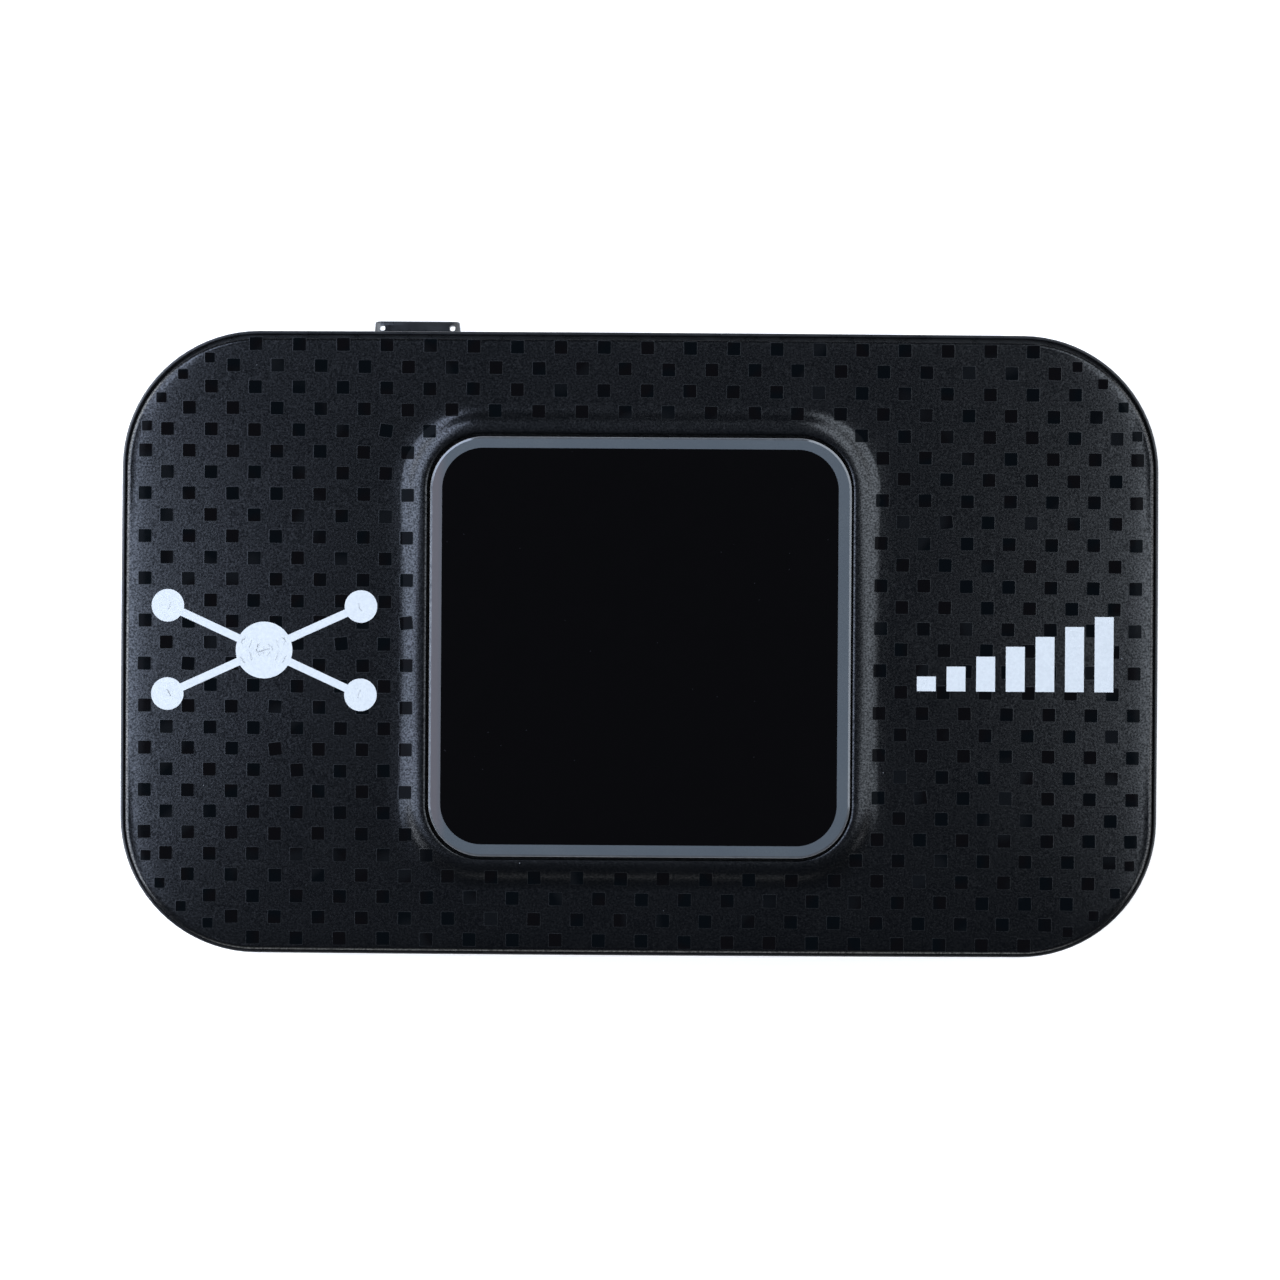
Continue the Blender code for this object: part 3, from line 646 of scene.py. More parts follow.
@as_material
def ivory_nylon(look):
    """Ivory nylon of connectors and small keys."""
    look.tones(look.noise(1.5, detail=3), (0.55, 0.51, 0.41), (0.64, 0.60, 0.50))
    look.roughness(look.noise(0.25), 0.42, 0.58)
    look.bump(look.noise(0.18), 0.006)


@as_material
def gold_plate(look):
    """Thin gold over nickel, with fine rubbing marks."""
    look.set("Metallic", 1.0)
    rubbed = look.noise(0.3, detail=4, stretch=(1, 0.08, 1))
    look.tones(look.noise(1.8, detail=3), (0.68, 0.46, 0.17), (0.82, 0.59, 0.26))
    look.roughness(rubbed, 0.2, 0.42)
    look.bump(rubbed, 0.002)


@as_material
def battery_film(look):
    """Dark shrink film with soft wrinkles."""
    wrinkles = look.noise(4.0, detail=2, stretch=(1, 0.4, 1), distortion=0.5)
    look.tones(look.noise(10.0), (0.040, 0.042, 0.046), (0.060, 0.062, 0.066))
    look.roughness(look.noise(0.8, detail=3), 0.35, 0.55)
    look.bump(wrinkles, 0.03)
    look.bump(look.noise(0.15), 0.004)


@as_material
def card_plastic(look):
    """White card plastic with a faint cloudy print."""
    look.tones(look.noise(3.0, detail=2), (0.74, 0.75, 0.75), (0.82, 0.82, 0.80), 0.35, 0.65)
    look.roughness(look.noise(0.4, detail=2), 0.35, 0.5)
    look.bump(look.noise(0.2), 0.004)


@as_material
def screw_zinc(look):
    """Dark zinc of the screws, with turning marks."""
    look.set("Metallic", 1.0)
    look.tones(look.noise(0.7, detail=3), (0.24, 0.24, 0.25), (0.36, 0.36, 0.36))
    look.roughness(look.noise(0.15, detail=2), 0.28, 0.5)
    look.bump(look.stripes(0.12, "Z"), 0.003)


@as_material
def label_paper(look):
    """Pale film of the battery's label."""
    look.tones(look.noise(5.0, detail=2), (0.50, 0.51, 0.52), (0.60, 0.61, 0.62))
    look.roughness(look.noise(0.5, detail=2), 0.4, 0.6)
    look.bump(look.noise(0.3), 0.004)


LOOK_OF_SLOT = {
    "satin_black": satin_black,
    "frame_black": frame_black,
    "rear_black": rear_black,
    "window_glass": lens_window,
    "display": display_glass,
    "display_frame": display_silver,
    "foam": foam_black,
    "polyimide": ribbon_amber,
    "board_green": board_mask,
    "tin_can": tin_sheet,
    "chip_black": chip_resin,
    "socket_steel": steel_sheet,
    "ivory_plastic": ivory_nylon,
    "gold_contact": gold_plate,
    "battery_wrap": battery_film,
    "card_white": card_plastic,
    "screw_steel": screw_zinc,
}


# ---- front cover


def face_rings():
    """Rings of the visible side of the cover, from the skirt's foot to the opening for the lens."""

    def outer(d):
        return outline(COVER_X - d, COVER_Y - d, COVER_CORNER - d, COVER_MIDDLE, BOW)

    tilt, end = math.radians(EDGE_TILT), math.radians(EDGE_END)
    start = COVER_EDGE * (math.sin(end) - math.sin(tilt))
    edge_points = outer(start)
    edge_level = float(face_height([(COVER_X - start, 0.0)])[0])
    edge_foot = edge_level - COVER_EDGE * math.cos(tilt)
    rings = [ring(outer(0), cover_low.z)]
    turns = 9
    for step in range(turns):
        angle = end - (end - tilt) * step / turns
        level = edge_foot + COVER_EDGE * math.cos(angle)
        rings.append(ring(outer(COVER_EDGE * (math.sin(end) - math.sin(angle))), level))
    foot = lens_square(ISLAND_HALF, ISLAND_CORNER)
    spans, crowding = 22, 1.25  # the rings lie closer together towards the edge
    for step in range(spans):
        share = (step / spans) ** crowding
        points = between(edge_points, foot, share)
        rings.append(ring(points, face_height(points)))
    slopes = 10
    width = ISLAND_HALF - OPENING_HALF - OPENING_EDGE
    for step in range(slopes + 1):
        d = width * step / slopes
        points = lens_square(ISLAND_HALF - d, ISLAND_CORNER - d)
        rings.append(ring(points, face_height(points)))
    return rings


def cover_rings():
    """The face, then down into the lens pocket, and back under the cover to the skirt."""
    top = FACE + ISLAND_RISE
    wide = OPENING_HALF + OPENING_EDGE * 0.3
    lip = lens_square(wide, OPENING_CORNER + OPENING_EDGE * 0.3)
    pocket = lens_square(OPENING_HALF, OPENING_CORNER)
    view = lens_square(VIEW_HALF, VIEW_CORNER)
    ledge = lens_low.z - UNDER_LENS
    inside = box("display_gasket")[1].z + OVER_GASKET
    half_x, half_y = COVER_X - COVER_WALL, COVER_Y - COVER_WALL
    hollow = outline(half_x, half_y, COVER_CORNER - COVER_WALL, COVER_MIDDLE)
    return face_rings() + [
        ring(lip, top - OPENING_EDGE * 0.3),
        ring(pocket, top - OPENING_EDGE),
        ring(pocket, ledge),
        ring(view, ledge),
        ring(view, inside),
        ring(hollow, inside),
        ring(hollow, cover_low.z),
    ]


def front_cover():
    """The moulding that carries the pattern and holds the lens."""
    shape = loft(bmesh.new(), cover_rings())
    made = piece("front_cover_shell", shape, "housing", "satin_black", satin_black)
    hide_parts("front_cover")


def screw_places():
    """Middle of each screw, in millimetres."""
    middles = []
    for number in range(1, SCREW_COUNT + 1):
        low, high = box(f"screw_{number}")
        middles.append(((low.x + high.x) / 2, (low.y + high.y) / 2))
    return middles


def circle(count):
    """Points of a circle of radius 1."""
    around = np.linspace(0, 2 * math.pi, count, endpoint=False)
    return np.column_stack([np.cos(around), np.sin(around)])


def turned(shape, centre, profile, closed=True):
    """A round shape about an upright line, from (radius, level) pairs."""
    rings = [ring(np.array(centre) + circle(32) * radius, level) for radius, level in profile]
    return loft(shape, rings, closed)


def cover_posts():
    """Screw posts under the front cover, with their bores and a small lead-in."""
    shape = bmesh.new()
    low, high = box("main_board")[0].z - 0.3, box("display_gasket")[1].z + 0.2
    lead, edge = 0.3, 0.15
    profile = [
        (POST_BORE, low + lead),
        (POST_BORE + lead, low),
        (POST_RADIUS - edge, low),
        (POST_RADIUS, low + edge),
        (POST_RADIUS, high),
        (POST_BORE, high),
    ]
    for centre in screw_places():
        turned(shape, centre, profile)
    piece("cover_posts", shape, "housing", "satin_black", satin_black)


def square_ring(x, y, half, radius, turn, side_steps):
    """Points round one square. Each side is divided into side_steps."""
    flat = half - radius
    angles = np.linspace(0, math.pi / 2, 4)
    quarter = [(flat + radius * math.cos(a), flat + radius * math.sin(a)) for a in angles]
    quarter += [(flat * (1 - 2 * step / side_steps), half) for step in range(1, side_steps)]
    u, v = np.array(quarter).T
    points = []
    for number in range(4):
        angle = turn + math.pi / 2 * number
        across = x + u * math.cos(angle) - v * math.sin(angle)
        points.append(np.column_stack([across, y + u * math.sin(angle) + v * math.cos(angle)]))
    return np.vstack(points)


def square_at(shape, x, y, size, turn):
    """A polished square inside a faint lip, following the face. Where the face curves strongly, its
    floor and sides are divided."""
    half = size / 2
    floor_height = LIP_HEIGHT * 0.7
    layers = [
        (half + SQUARE_LIP, -ROOT),
        (half + SQUARE_LIP, LIP_HEIGHT * 0.8),
        (half, LIP_HEIGHT),
        (half - 0.03, floor_height),
    ]
    side_steps = 1
    if in_island([(x, y)])[0] > -size or from_cover_edge([(x, y)])[0] < 2 * size:
        layers += [(half * share, floor_height) for share in (0.75, 0.5, 0.25, 0.08)]
        side_steps = 5
    rings = []
    for reach, lift in layers:
        points = square_ring(x, y, reach, min(SQUARE_ROUND, reach * 0.8), turn, side_steps)
        level = face_height(points)
        rings.append(ring(points, (level if lift > 0 else level.min()) + lift))
    bands = [0, 0] + [1] * (len(layers) - 2)
    loft(shape, rings, closed=False, bands=bands)


def square_places():
    """Centres and sizes of the squares: the grid without the island, and an arc at each corner."""
    places = []
    for i in range(-23, 24):
        for j in range(-14, 15):
            on_grid = (i + j) % 2 == 0 and abs(i) + abs(j) <= 32
            on_island = (abs(i) <= 9 and abs(j) <= 10) or (abs(i) == 10 and abs(j) <= 8)
            if on_grid and not on_island:
                places.append((i * PITCH_X, j * PITCH_Y, SQUARE))
    for side_x in (-1, 1):
        for side_y in (-1, 1):
            for number in range(4):
                angle = math.radians(ARC_START + ARC_STEP * number)
                x = ARC_CENTRE[0] + ARC_RADIUS * math.cos(angle)
                y = ARC_CENTRE[1] + ARC_RADIUS * math.sin(angle)
                places.append((side_x * x, side_y * y, ARC_SQUARE))
    return places


def on_film(x, y):
    """Where a place of the plain grid lies on the real film."""
    across = x + FILM_SHIFT[0] + FILM_TURN * y + FILM_STRETCH[0] * x * x + FILM_TWIST * x * y
    up = y + FILM_SHIFT[1] - FILM_TURN * x + FILM_STRETCH[1] * y * y
    return across, up


def pattern():
    """All the squares. Each is a touch out of place, and now and then one is turned."""
    draw = random.Random(7)
    slip, usual_turn, odd_turn, odd_share = 0.02, 0.6, 5.0, 0.03
    shape = bmesh.new()
    for grid_x, grid_y, size in square_places():
        x, y = on_film(grid_x, grid_y)
        shift_x, shift_y = draw.gauss(0, slip), draw.gauss(0, slip)
        turn = draw.gauss(0, odd_turn if draw.random() < odd_share else usual_turn)
        square_at(shape, x + shift_x, y + shift_y, size, math.radians(turn))
    piece("front_pattern", shape, "housing", "window_glass", square_lip, gloss_black, smooth=3)


# ---- prints


def print_strip(shape, start, end, width):
    """A printed bar between two points, divided so that it follows the face."""
    start, end = np.array(start), np.array(end)
    length = np.hypot(*(end - start))
    along = (end - start) / length
    across = np.array([-along[1], along[0]]) * width / 2
    longest = 1.5
    steps = max(2, int(length / longest))
    rows = []
    for step in range(steps + 1):
        middle = between(start, end, step / steps)
        points = np.array([middle - across, middle, middle + across])
        high = ring(points, face_height(points) + PRINT_HEIGHT)
        low = ring(points[::-1], face_height(points[::-1]) - ROOT)
        rows.append(np.vstack([high, low]))
    loft(shape, rows, closed=False)


def print_disc(shape, centre, radius):
    """A printed dot."""
    rings = []
    for share, lift in ((0.4, -ROOT), (1.0, -ROOT), (1.0, PRINT_HEIGHT), (0.4, PRINT_HEIGHT)):
        points = np.array(centre) + circle(48) * radius * share
        rings.append(ring(points, face_height(points) + lift))
    loft(shape, rings, closed=False)


def linked_dots():
    """Left print: a plain symbol of a hub linked to four dots, for a network."""
    hub, hub_radius = (-35.7, -0.8), 2.7
    dot_radius, reach_x, reach_y = 1.55, 9.2, 4.2
    link_width = 0.75
    shape = bmesh.new()
    print_disc(shape, hub, hub_radius)
    for side_x in (-1, 1):
        for side_y in (-1, 1):
            dot = (hub[0] + side_x * reach_x, hub[1] + side_y * reach_y)
            print_disc(shape, dot, dot_radius)
            print_strip(shape, hub, dot, link_width)
    piece("print_linked_dots", shape, "housing", "card_white", white_print)


def signal_bars():
    """Right print: rising bars, for signal strength."""
    bars, first_x, pitch, width = 7, 27.3, 2.82, 1.8
    low, shortest, growth = -4.3, 1.4, 0.96
    shape = bmesh.new()
    for number in range(bars):
        x = first_x + pitch * number
        print_strip(shape, (x, low), (x, low + shortest + growth * number), width)
    piece("print_signal_bars", shape, "housing", "card_white", white_print)


# ---- lens


def lens():
    """The window: a black print inside a grey border, under a clear bevelled slab."""

    def slab(d):
        flat = outline(LENS_HALF - d, LENS_HALF - LENS_NARROWER - d, LENS_CORNER - d, LENS_Y + LENS_DOWN)
        return flat + np.array([LENS_X, 0.0])

    window = lens_square(WINDOW_HALF, WINDOW_CORNER)
    top, chamfer = lens_high.z, 0.03
    rings = [
        ring(slab(0), lens_low.z),
        ring(slab(0), top - LENS_FALL - chamfer),
        ring(slab(chamfer), top - LENS_FALL),
        ring(slab(LENS_BEVEL), top),
        ring(window, top),
        ring(between(window, np.array([0.0, LENS_Y]), 0.9), top),
    ]
    shape = loft(bmesh.new(), rings, closed=False, bands=(0, 0, 0, 1, 2, 2))
    looks = (lens_edge, lens_border, lens_window)
    made = piece("screen_window", shape, "housing", "window_glass", *looks, smooth=8)
    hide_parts("screen_lens")


# ---- frame, back and key


def body(inward):
    """The body's outline, moved inwards."""
    return outline(frame_high.x - inward, rear_half_y + SEAM - inward, BODY_CORNER - inward, bow=BOW)


def profile_rings(profile):
    """Rings of the body's outline from (inward, level) pairs."""
    return [ring(body(inward), level) for inward, level in profile]


def middle_of(inward, level):
    """A small ring in the middle of the body, to close a floor with."""
    return ring(body(inward) * 0.04, level)


def arc(centre, radius, start, end, steps):
    """Points of an arc, from start to end degrees."""
    angles = [math.radians(start + (end - start) * step / steps) for step in range(steps + 1)]
    return [(centre[0] + radius * math.cos(a), centre[1] + radius * math.sin(a)) for a in angles]


def wall_profile():
    """Outside of the housing's wall from top to bottom: a round rim, an upright side and a foot
    that turns in."""
    low, high = frame_low.z, frame_high.z
    rim = arc((RIM_OUTER, high - RIM_OUTER), RIM_OUTER, 90, 180, 6)
    foot = arc((WALL_FOOT, low + WALL_FOOT), WALL_FOOT, 180, 270, 5)
    return rim + foot


def mid_housing():
    """The outer frame: wall and thin rim, a web inside, and openings for the key and the socket."""
    ledge = 10.8  # level where the wall thins to the rim
    inner_rim = [(WALL, WEB_HIGH), (WALL, ledge), (RIM, ledge)]
    inner_rim += arc((RIM - RIM_INNER, frame_high.z - RIM_INNER), RIM_INNER, 0, 90, 5)
    under = [(WALL, frame_low.z), (WALL, WEB_LOW)]
    rings = [middle_of(WALL, WEB_HIGH)]
    rings += profile_rings(inner_rim + wall_profile() + under)
    rings.append(middle_of(WALL, WEB_LOW))
    shape = loft(bmesh.new(), rings, closed=False)
    made = piece("mid_housing_shell", shape, "housing", "frame_black", frame_black)
    for number, (low, high, corner) in enumerate(edge_openings()):
        hole = box_shape(low, high, corner, along="Y")
        boolean(made, "DIFFERENCE", f"edge_opening_{number}", hole)
    for number, (low, high) in enumerate(web_windows()):
        boolean(made, "DIFFERENCE", f"web_window_{number}", box_shape(low, high, 0.5))
    past = 0.5
    through = [(WEB_HOLE, WEB_LOW - past), (WEB_HOLE, WEB_HIGH + past)]
    for number, place in enumerate(screw_places()):
        hole = turned(bmesh.new(), place, through, closed=False)
        boolean(made, "DIFFERENCE", f"web_hole_{number}", hole)
    for number, (low, high) in enumerate(bay_ribs()):
        boolean(made, "UNION", f"bay_rib_{number}", box_shape(low, high, edge=0.12))
    carve(made)
    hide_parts("mid_housing")


def edge_openings():
    """Holes through the wall for the key and the socket, with the radius of their corners."""
    usb_low, usb_high = box("usb_shell")
    gap = 0.2
    key = (
        (KEY_X - KEY_HALF - gap, rear_half_y - 3.0, KEY_LEVELS[0] - gap),
        (KEY_X + KEY_HALF + gap, rear_half_y + 2.0, KEY_LEVELS[1] + gap),
        1.1,
    )
    socket = (
        (usb_low.x - 0.3, -rear_half_y - 2.0, usb_low.z - gap),
        (usb_high.x + 0.3, -rear_half_y + 3.0, usb_high.z + 0.15),
        0.6,
    )
    return key, socket


def bay_ribs():
    """Two ribs that hold the battery along its long sides."""
    pack_low, pack_high = box("battery")
    gap, thick, deep = 0.4, 0.8, 4.3
    ribs = []
    for side in (-1, 1):
        y = side * (pack_high.y + gap + thick / 2)
        low = (pack_low.x, y - thick / 2, WEB_LOW - deep)
        ribs.append((low, (pack_high.x, y + thick / 2, WEB_LOW + 0.2)))
    return ribs


def web_windows():
    """Holes in the web round what passes through it."""
    low, high = WEB_LOW - 1.1, WEB_HIGH + 0.9
    card_high = box("sim_card")[1]
    connector_low, connector_high = box("battery_connector")
    usb_low, usb_high = box("usb_shell")
    reset_low, reset_high = box("reset_switch_body")
    key_low, key_high = box("power_button")
    beside, overlap = connector_high.x + 1.0, 0.01
    near, wide = 0.3, 0.6
    return (
        ((beside, -8, low), (card_high.x + 1.5, 8, high)),
        ((connector_low.x - 0.9, -7, low), (beside + overlap, 7, high)),
        ((usb_low.x - wide, -28, low), (usb_high.x + wide, usb_high.y + 0.4, high)),
        ((reset_low.x - near, reset_low.y - near, low), (reset_high.x + near, reset_high.y + near, high)),
        ((key_low.x - wide, 26.7, low), (key_high.x + wide, 28.5, high)),
    )


def back_cover():
    """The removable back: a tray with a large rear radius, a lip that closes the seam, and a notch
    for a fingernail."""
    top, floor_level = rear_low.z + 5.0, rear_low.z + 1.2
    rear_radius, inner_radius, edge = 3.0, 1.2, 0.3
    lip_out, lip_in, lip_high = SEAM + 1.4, SEAM + 1.8, top + 0.7
    inside = [(3.2, floor_level)]
    inside += arc((SEAM + 3.0, floor_level + inner_radius), inner_radius, 270, 180, 5)
    inside += [(lip_in, lip_high), (SEAM + 1.6, top + 0.8), (lip_out, lip_high)]
    inside += [(lip_out, top), (SEAM + 0.4, top)]
    outside = arc((SEAM + edge, top - edge), edge, 90, 180, 4)
    outside += [(SEAM, top - 1.0)]
    outside += arc((SEAM + rear_radius, rear_radius), rear_radius, 180, 270, 12)
    rings = [middle_of(rear_radius, floor_level)] + profile_rings(inside + outside)
    rings.append(middle_of(rear_radius, rear_low.z))
    shape = loft(bmesh.new(), rings, closed=False)
    made = piece("back_cover_shell", shape, "back_cover", "rear_black", rear_black)
    notch = box_shape((rear_high.x - 0.7, -5, top - 1.2), (rear_high.x + 1, 5, top + 1), 0.3)
    boolean(made, "DIFFERENCE", "nail_notch", notch)
    for number, x in enumerate(TABS_X * 2):
        side = 1 if number < len(TABS_X) else -1
        tab, foot = locating_tab(x, side)
        boolean(made, "UNION", f"tab_{number}", tab)
        boolean(made, "UNION", f"foot_{number}", foot)
    carve(made)
    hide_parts("back_cover")


def locating_tab(x, side):
    """A tab inside the back cover's wall, and the foot that joins them."""
    wall = rear_half_y - 1.2
    half, foot_half = 4.0, 3.5
    near, far = sorted((side * (wall - 1.1), side * (wall - 0.15)))
    tab = box_shape((x - half, near, 2.2), (x + half, far, 6.6), edge=0.12)
    near, far = sorted((side * (wall - 0.9), side * (wall + 0.3)))
    return tab, box_shape((x - foot_half, near, 2.5), (x + foot_half, far, 4.5))


def power_button():
    """The key: a cap with tapered ends and two small eyelets, on a flange behind the wall."""
    low, high = box("power_button")
    wall = rear_half_y + SEAM
    taper = 0.955
    shape = box_shape(
        (KEY_X - KEY_HALF, wall - WALL - 0.3, KEY_LEVELS[0]),
        (KEY_X + KEY_HALF, high.y, KEY_LEVELS[1]),
        0.9,
        along="Y",
        edge=0.2,
    )
    for vert in shape.verts:
        if vert.co.y > wall + 0.5:
            vert.co.x = KEY_X + (vert.co.x - KEY_X) * taper
    made = piece("power_key", shape, "power_button", "frame_black", frame_black, smooth=18)
    flange = box_shape((low.x, wall - WALL - 0.55, low.z), (high.x, wall - WALL - 0.1, high.z), 0.2)
    rib = box_shape((KEY_X - 1, low.y, 8.7), (KEY_X + 1, wall - WALL - 0.2, 9.6))
    boolean(made, "UNION", "key_flange", flange)
    boolean(made, "UNION", "key_rib", rib)
    half, near, far = 0.26, 0.1, 0.62
    for side in (-1, 1):
        x = KEY_X + side * (KEY_HALF - 0.9)
        eyelet = box_shape((x - half, wall + near, 5), (x + half, wall + far, 12), 0.18)
        boolean(made, "DIFFERENCE", "key_eyelet", eyelet)
    carve(made, smooth=18)
    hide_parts("power_button")


# ---- what lies inside


def plates(name, body, slot, material, boxes, edge=0.02):
    """Many small boxes as one piece."""
    shape = bmesh.new()
    for low, high in boxes:
        merge(shape, box_shape(low, high, edge=edge))
    piece(name, shape, body, slot, material, smooth=30)


def battery_details():
    """The pack's label with three bands of different lengths, and its four contact pads."""
    low, high = box("battery")
    top = high.z
    painted_left_light, right, label_half = low.x + 6, high.x - 9, 15.0
    label = [((painted_left_light, -label_half, top - 0.02), (right, label_half, top + 0.05))]
    plates("battery_label", "battery", "card_white", label_paper, label, edge=0.01)
    margin, band_half = 3, 0.9
    bands = []
    for y, shorter in ((9.0, 0.0), (5.0, 14.0), (-9.0, 22.0)):
        start = (painted_left_light + margin, y - band_half, top + 0.03)
        bands.append((start, (right - margin - shorter, y + band_half, top + 0.07)))
    plates("battery_label_bands", "battery", "chip_black", chip_resin, bands, edge=0.01)
    pad_half, pad_tall = 0.7, 1.3
    pads = []
    for number in range(1, 5):
        spring_low, spring_high = box(f"battery_spring_{number}")
        y = (spring_low.y + spring_high.y) / 2
        z = (spring_low.z + spring_high.z) / 2
        start = (high.x - 0.1, y - pad_half, z - pad_tall)
        pads.append((start, (high.x + 0.05, y + pad_half, z + pad_tall)))
    plates("battery_pads", "battery", "gold_contact", gold_plate, pads)


def socket_contacts():
    """Five gold strips on the socket's tongue."""
    low = box("usb_tongue")[0]
    blade = low.z + 0.15
    pitch, half = 0.65, 0.15
    strips = []
    for number in range(-2, 3):
        x = number * pitch
        start = (x - half, low.y + 0.1, blade - 0.03)
        strips.append((start, (x + half, low.y + 3.0, blade + 0.02)))
    plates("usb_contacts", "housing", "gold_contact", gold_plate, strips, edge=0)


def card_contacts():
    """The card's eight gold fields."""
    low, high = box("sim_card")
    long, wide = 3.8, 1.8
    pitch_x, pitch_y = 4.4, 2.1
    fields = []
    for row in range(4):
        for column in range(2):
            x = low.x + 3.2 + column * pitch_x
            y = -3.9 + row * pitch_y
            fields.append(((x, y, high.z - 0.05), (x + long, y + wide, high.z + 0.03)))
    plates("sim_fields", "sim", "gold_contact", gold_plate, fields, edge=0)


def screw_recesses():
    """A cross recess in the head of each screw."""
    arm_long, arm_short = 0.85, 0.17
    for number, (x, y) in enumerate(screw_places(), start=1):
        node = frame["nodes"][f"screw_{number}"]
        bottom = box(f"screw_{number}")[0].z
        for arm, (half_x, half_y) in enumerate(((arm_long, arm_short), (arm_short, arm_long))):
            low = (x - half_x, y - half_y, bottom - 0.2)
            high = (x + half_x, y + half_y, bottom + 0.5)
            boolean(node, "DIFFERENCE", f"recess_{number}_{arm}", box_shape(low, high))


def free_of(x, y, obstacles, margin):
    """Whether a place keeps its distance from every obstacle, each (low x, low y, high x, high y)."""
    return not any(
        x0 - margin < x < x1 + margin and y0 - margin < y < y1 + margin for x0, y0, x1, y1 in obstacles
    )


def chip_box(x, y, across, half_long, half_wide, base, tall):
    """Corners of a small box on the board that lies along X or, if not across, along Y."""
    half_x, half_y = (half_long, half_wide) if across else (half_wide, half_long)
    return (x - half_x, y - half_y, base), (x + half_x, y + half_y, base + tall)


def board_passives():
    """Rows of small resistors and capacitors wherever the board's top is free."""
    draw = random.Random(11)
    board_low, board_high = box("main_board")
    taller = [
        "shield_baseband", "shield_radio", "usb_shell", "power_switch_body", "power_button",
        "display_backlight", "display_connector", "display_flex", "antenna_wifi",
        "antenna_clip_main", "antenna_clip_diversity", "antenna_main_carrier",
        "antenna_diversity_carrier",
    ]
    obstacles = []
    for name in taller:
        low, high = box(name)
        obstacles.append((low.x, low.y, high.x, high.y))
    post = POST_RADIUS + 0.4
    for x, y in screw_places():
        obstacles.append((x - post, y - post, x + post, y + post))
    bodies, ends = [], []
    base = board_high.z
    pitch, first, gap, left_out = 1.9, 0.7, 1.0, 0.45
    for i in range(int((board_high.x - board_low.x) / pitch)):
        for j in range(int((board_high.y - board_low.y) / pitch)):
            x = board_low.x + pitch * (i + first)
            y = board_low.y + pitch * (j + first)
            across = draw.random() < 0.5
            tall = draw.choice((0.35, 0.45, 0.55))
            if draw.random() < left_out or not free_of(x, y, obstacles, gap):
                continue
            bodies.append(chip_box(x, y, across, 0.5, 0.26, base, tall))
            for end in (-0.42, 0.42):
                end_x, end_y = (x + end, y) if across else (x, y + end)
                ends.append(chip_box(end_x, end_y, across, 0.12, 0.28, base, tall + 0.02))
    plates("board_passives", "housing", "chip_black", chip_resin, bodies, edge=0)
    plates("board_passive_ends", "housing", "tin_can", tin_sheet, ends, edge=0)


def paint_nodes():
    """Gives every carried-over node the look of its slot."""
    for part in frame["record"]["subparts"]:
        node = frame["nodes"][part["node"]]
        node.data.materials.clear()
        node.data.materials.append(LOOK_OF_SLOT[part["material_slot"]])


front_cover()
cover_posts()
pattern()
linked_dots()
signal_bars()
lens()
mid_housing()
back_cover()
power_button()
battery_details()
socket_contacts()
card_contacts()
screw_recesses()
board_passives()
paint_nodes()


# ---- stage


@as_material
def floor_white(look):
    """Plain white, lit a little from below like a light table."""
    look.set("Base Color", (0.86, 0.86, 0.86, 1.0))
    look.set("Roughness", 0.7)
    look.set("Emission Color", (1.0, 1.0, 1.0, 1.0))
    look.set("Emission Strength", 0.6)
    look.bump(look.noise(4.0, detail=3), 0.01)


def floor():
    """A wide flat floor, a hair below the object."""
    half, gap = 1500, 0.02
    shape = bmesh.new()
    bmesh.ops.create_grid(shape, x_segments=1, y_segments=1, size=half)
    made = new_object("floor", shape, [floor_white])
    made.location.z = (rear_low.z - gap) * MM


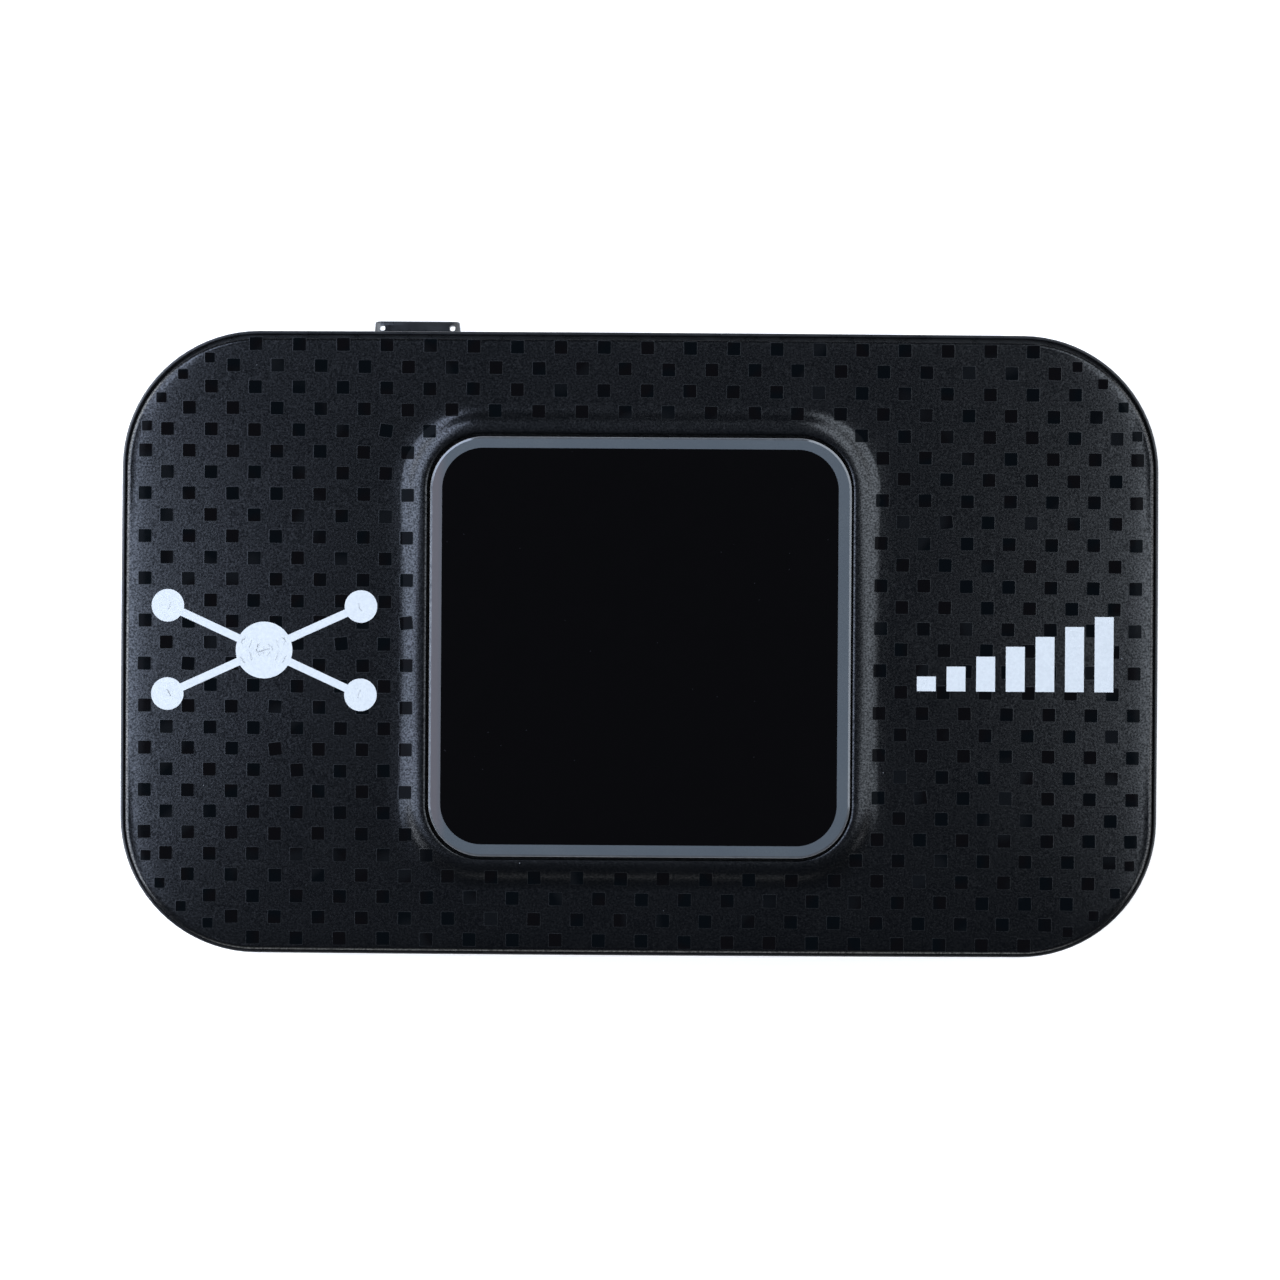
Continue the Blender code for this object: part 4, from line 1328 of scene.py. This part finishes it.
def softbox(name, tilt, turn, shift, across, upright, strength, color):
    """A rectangular light of a given brightness, tilt degrees off straight up and turn degrees from
    +X, as seen from a point moved by shift along Y."""
    distance = 0.75
    tilt, turn = math.radians(tilt), math.radians(turn)
    flat = distance * math.sin(tilt)
    way = Vector((flat * math.cos(turn), flat * math.sin(turn), distance * math.cos(tilt)))
    light = bpy.data.lights.new(name, "AREA")
    light.shape = "RECTANGLE"
    light.size = across
    light.size_y = upright
    light.energy = strength * math.pi * across * upright
    light.color = color
    made = bpy.data.objects.new(name, light)
    made.location = way + Vector((0, shift, 0))
    made.rotation_euler = way.to_track_quat("Z", "Y").to_euler()
    bpy.context.scene.collection.objects.link(made)


def studio():
    """Long soft lights on the left and right, at several heights, in a dim room that is a little
    brighter in front. The camera sees the room as plain white."""
    softbox("light_left", 27.5, 178, 0.28, 0.80, 0.34, 3.0, (0.85, 1.0, 1.32))
    softbox("light_right", 27, 4, 0.35, 0.90, 0.36, 2.1, (0.90, 1.0, 1.13))
    softbox("light_left_low", 62, 180, 0.1, 1.0, 0.46, 5.4, (0.93, 1.0, 1.12))
    softbox("light_right_low", 62, 0, 0.1, 1.0, 0.40, 2.35, (0.96, 1.0, 1.06))
    world = bpy.data.worlds.new("room")
    bpy.context.scene.world = world
    world.use_nodes = True
    tree = world.node_tree
    place = add_node(tree, "ShaderNodeTexCoord").outputs["Generated"]
    split = add_node(tree, "ShaderNodeSeparateXYZ", place)
    glow = add_node(tree, "ShaderNodeMapRange", split.outputs["Y"])
    set_range(glow, -1.0, -0.84, 2.1, 0.03)
    seen = add_node(tree, "ShaderNodeLightPath").outputs["Is Camera Ray"]
    choice = add_node(tree, "ShaderNodeMix", seen)
    choice.inputs["B"].default_value = 1.0
    tree.links.new(glow.outputs[0], choice.inputs["A"])
    tree.nodes["Background"].inputs["Color"].default_value = (0.95, 0.98, 1.0, 1.0)
    tree.links.new(choice.outputs["Result"], tree.nodes["Background"].inputs["Strength"])


def camera():
    """Straight above the face, turned a trace, as in the reference view."""
    distance, frame_width = 600.0, 122.22
    across, up, turn = 0.05, 0.39, 0.38
    lens = bpy.data.cameras.new("camera")
    lens.sensor_width = 36.0
    lens.lens = lens.sensor_width * distance / frame_width
    lens.clip_start, lens.clip_end = 0.01, 10.0
    made = bpy.data.objects.new("camera", lens)
    made.location = (across * MM, up * MM, (frame_high.z + distance) * MM)
    made.rotation_euler = (0.0, 0.0, math.radians(turn))
    bpy.context.scene.collection.objects.link(made)
    bpy.context.scene.camera = made


floor()
studio()
camera()
bpy.context.scene.view_settings.view_transform = "Standard"
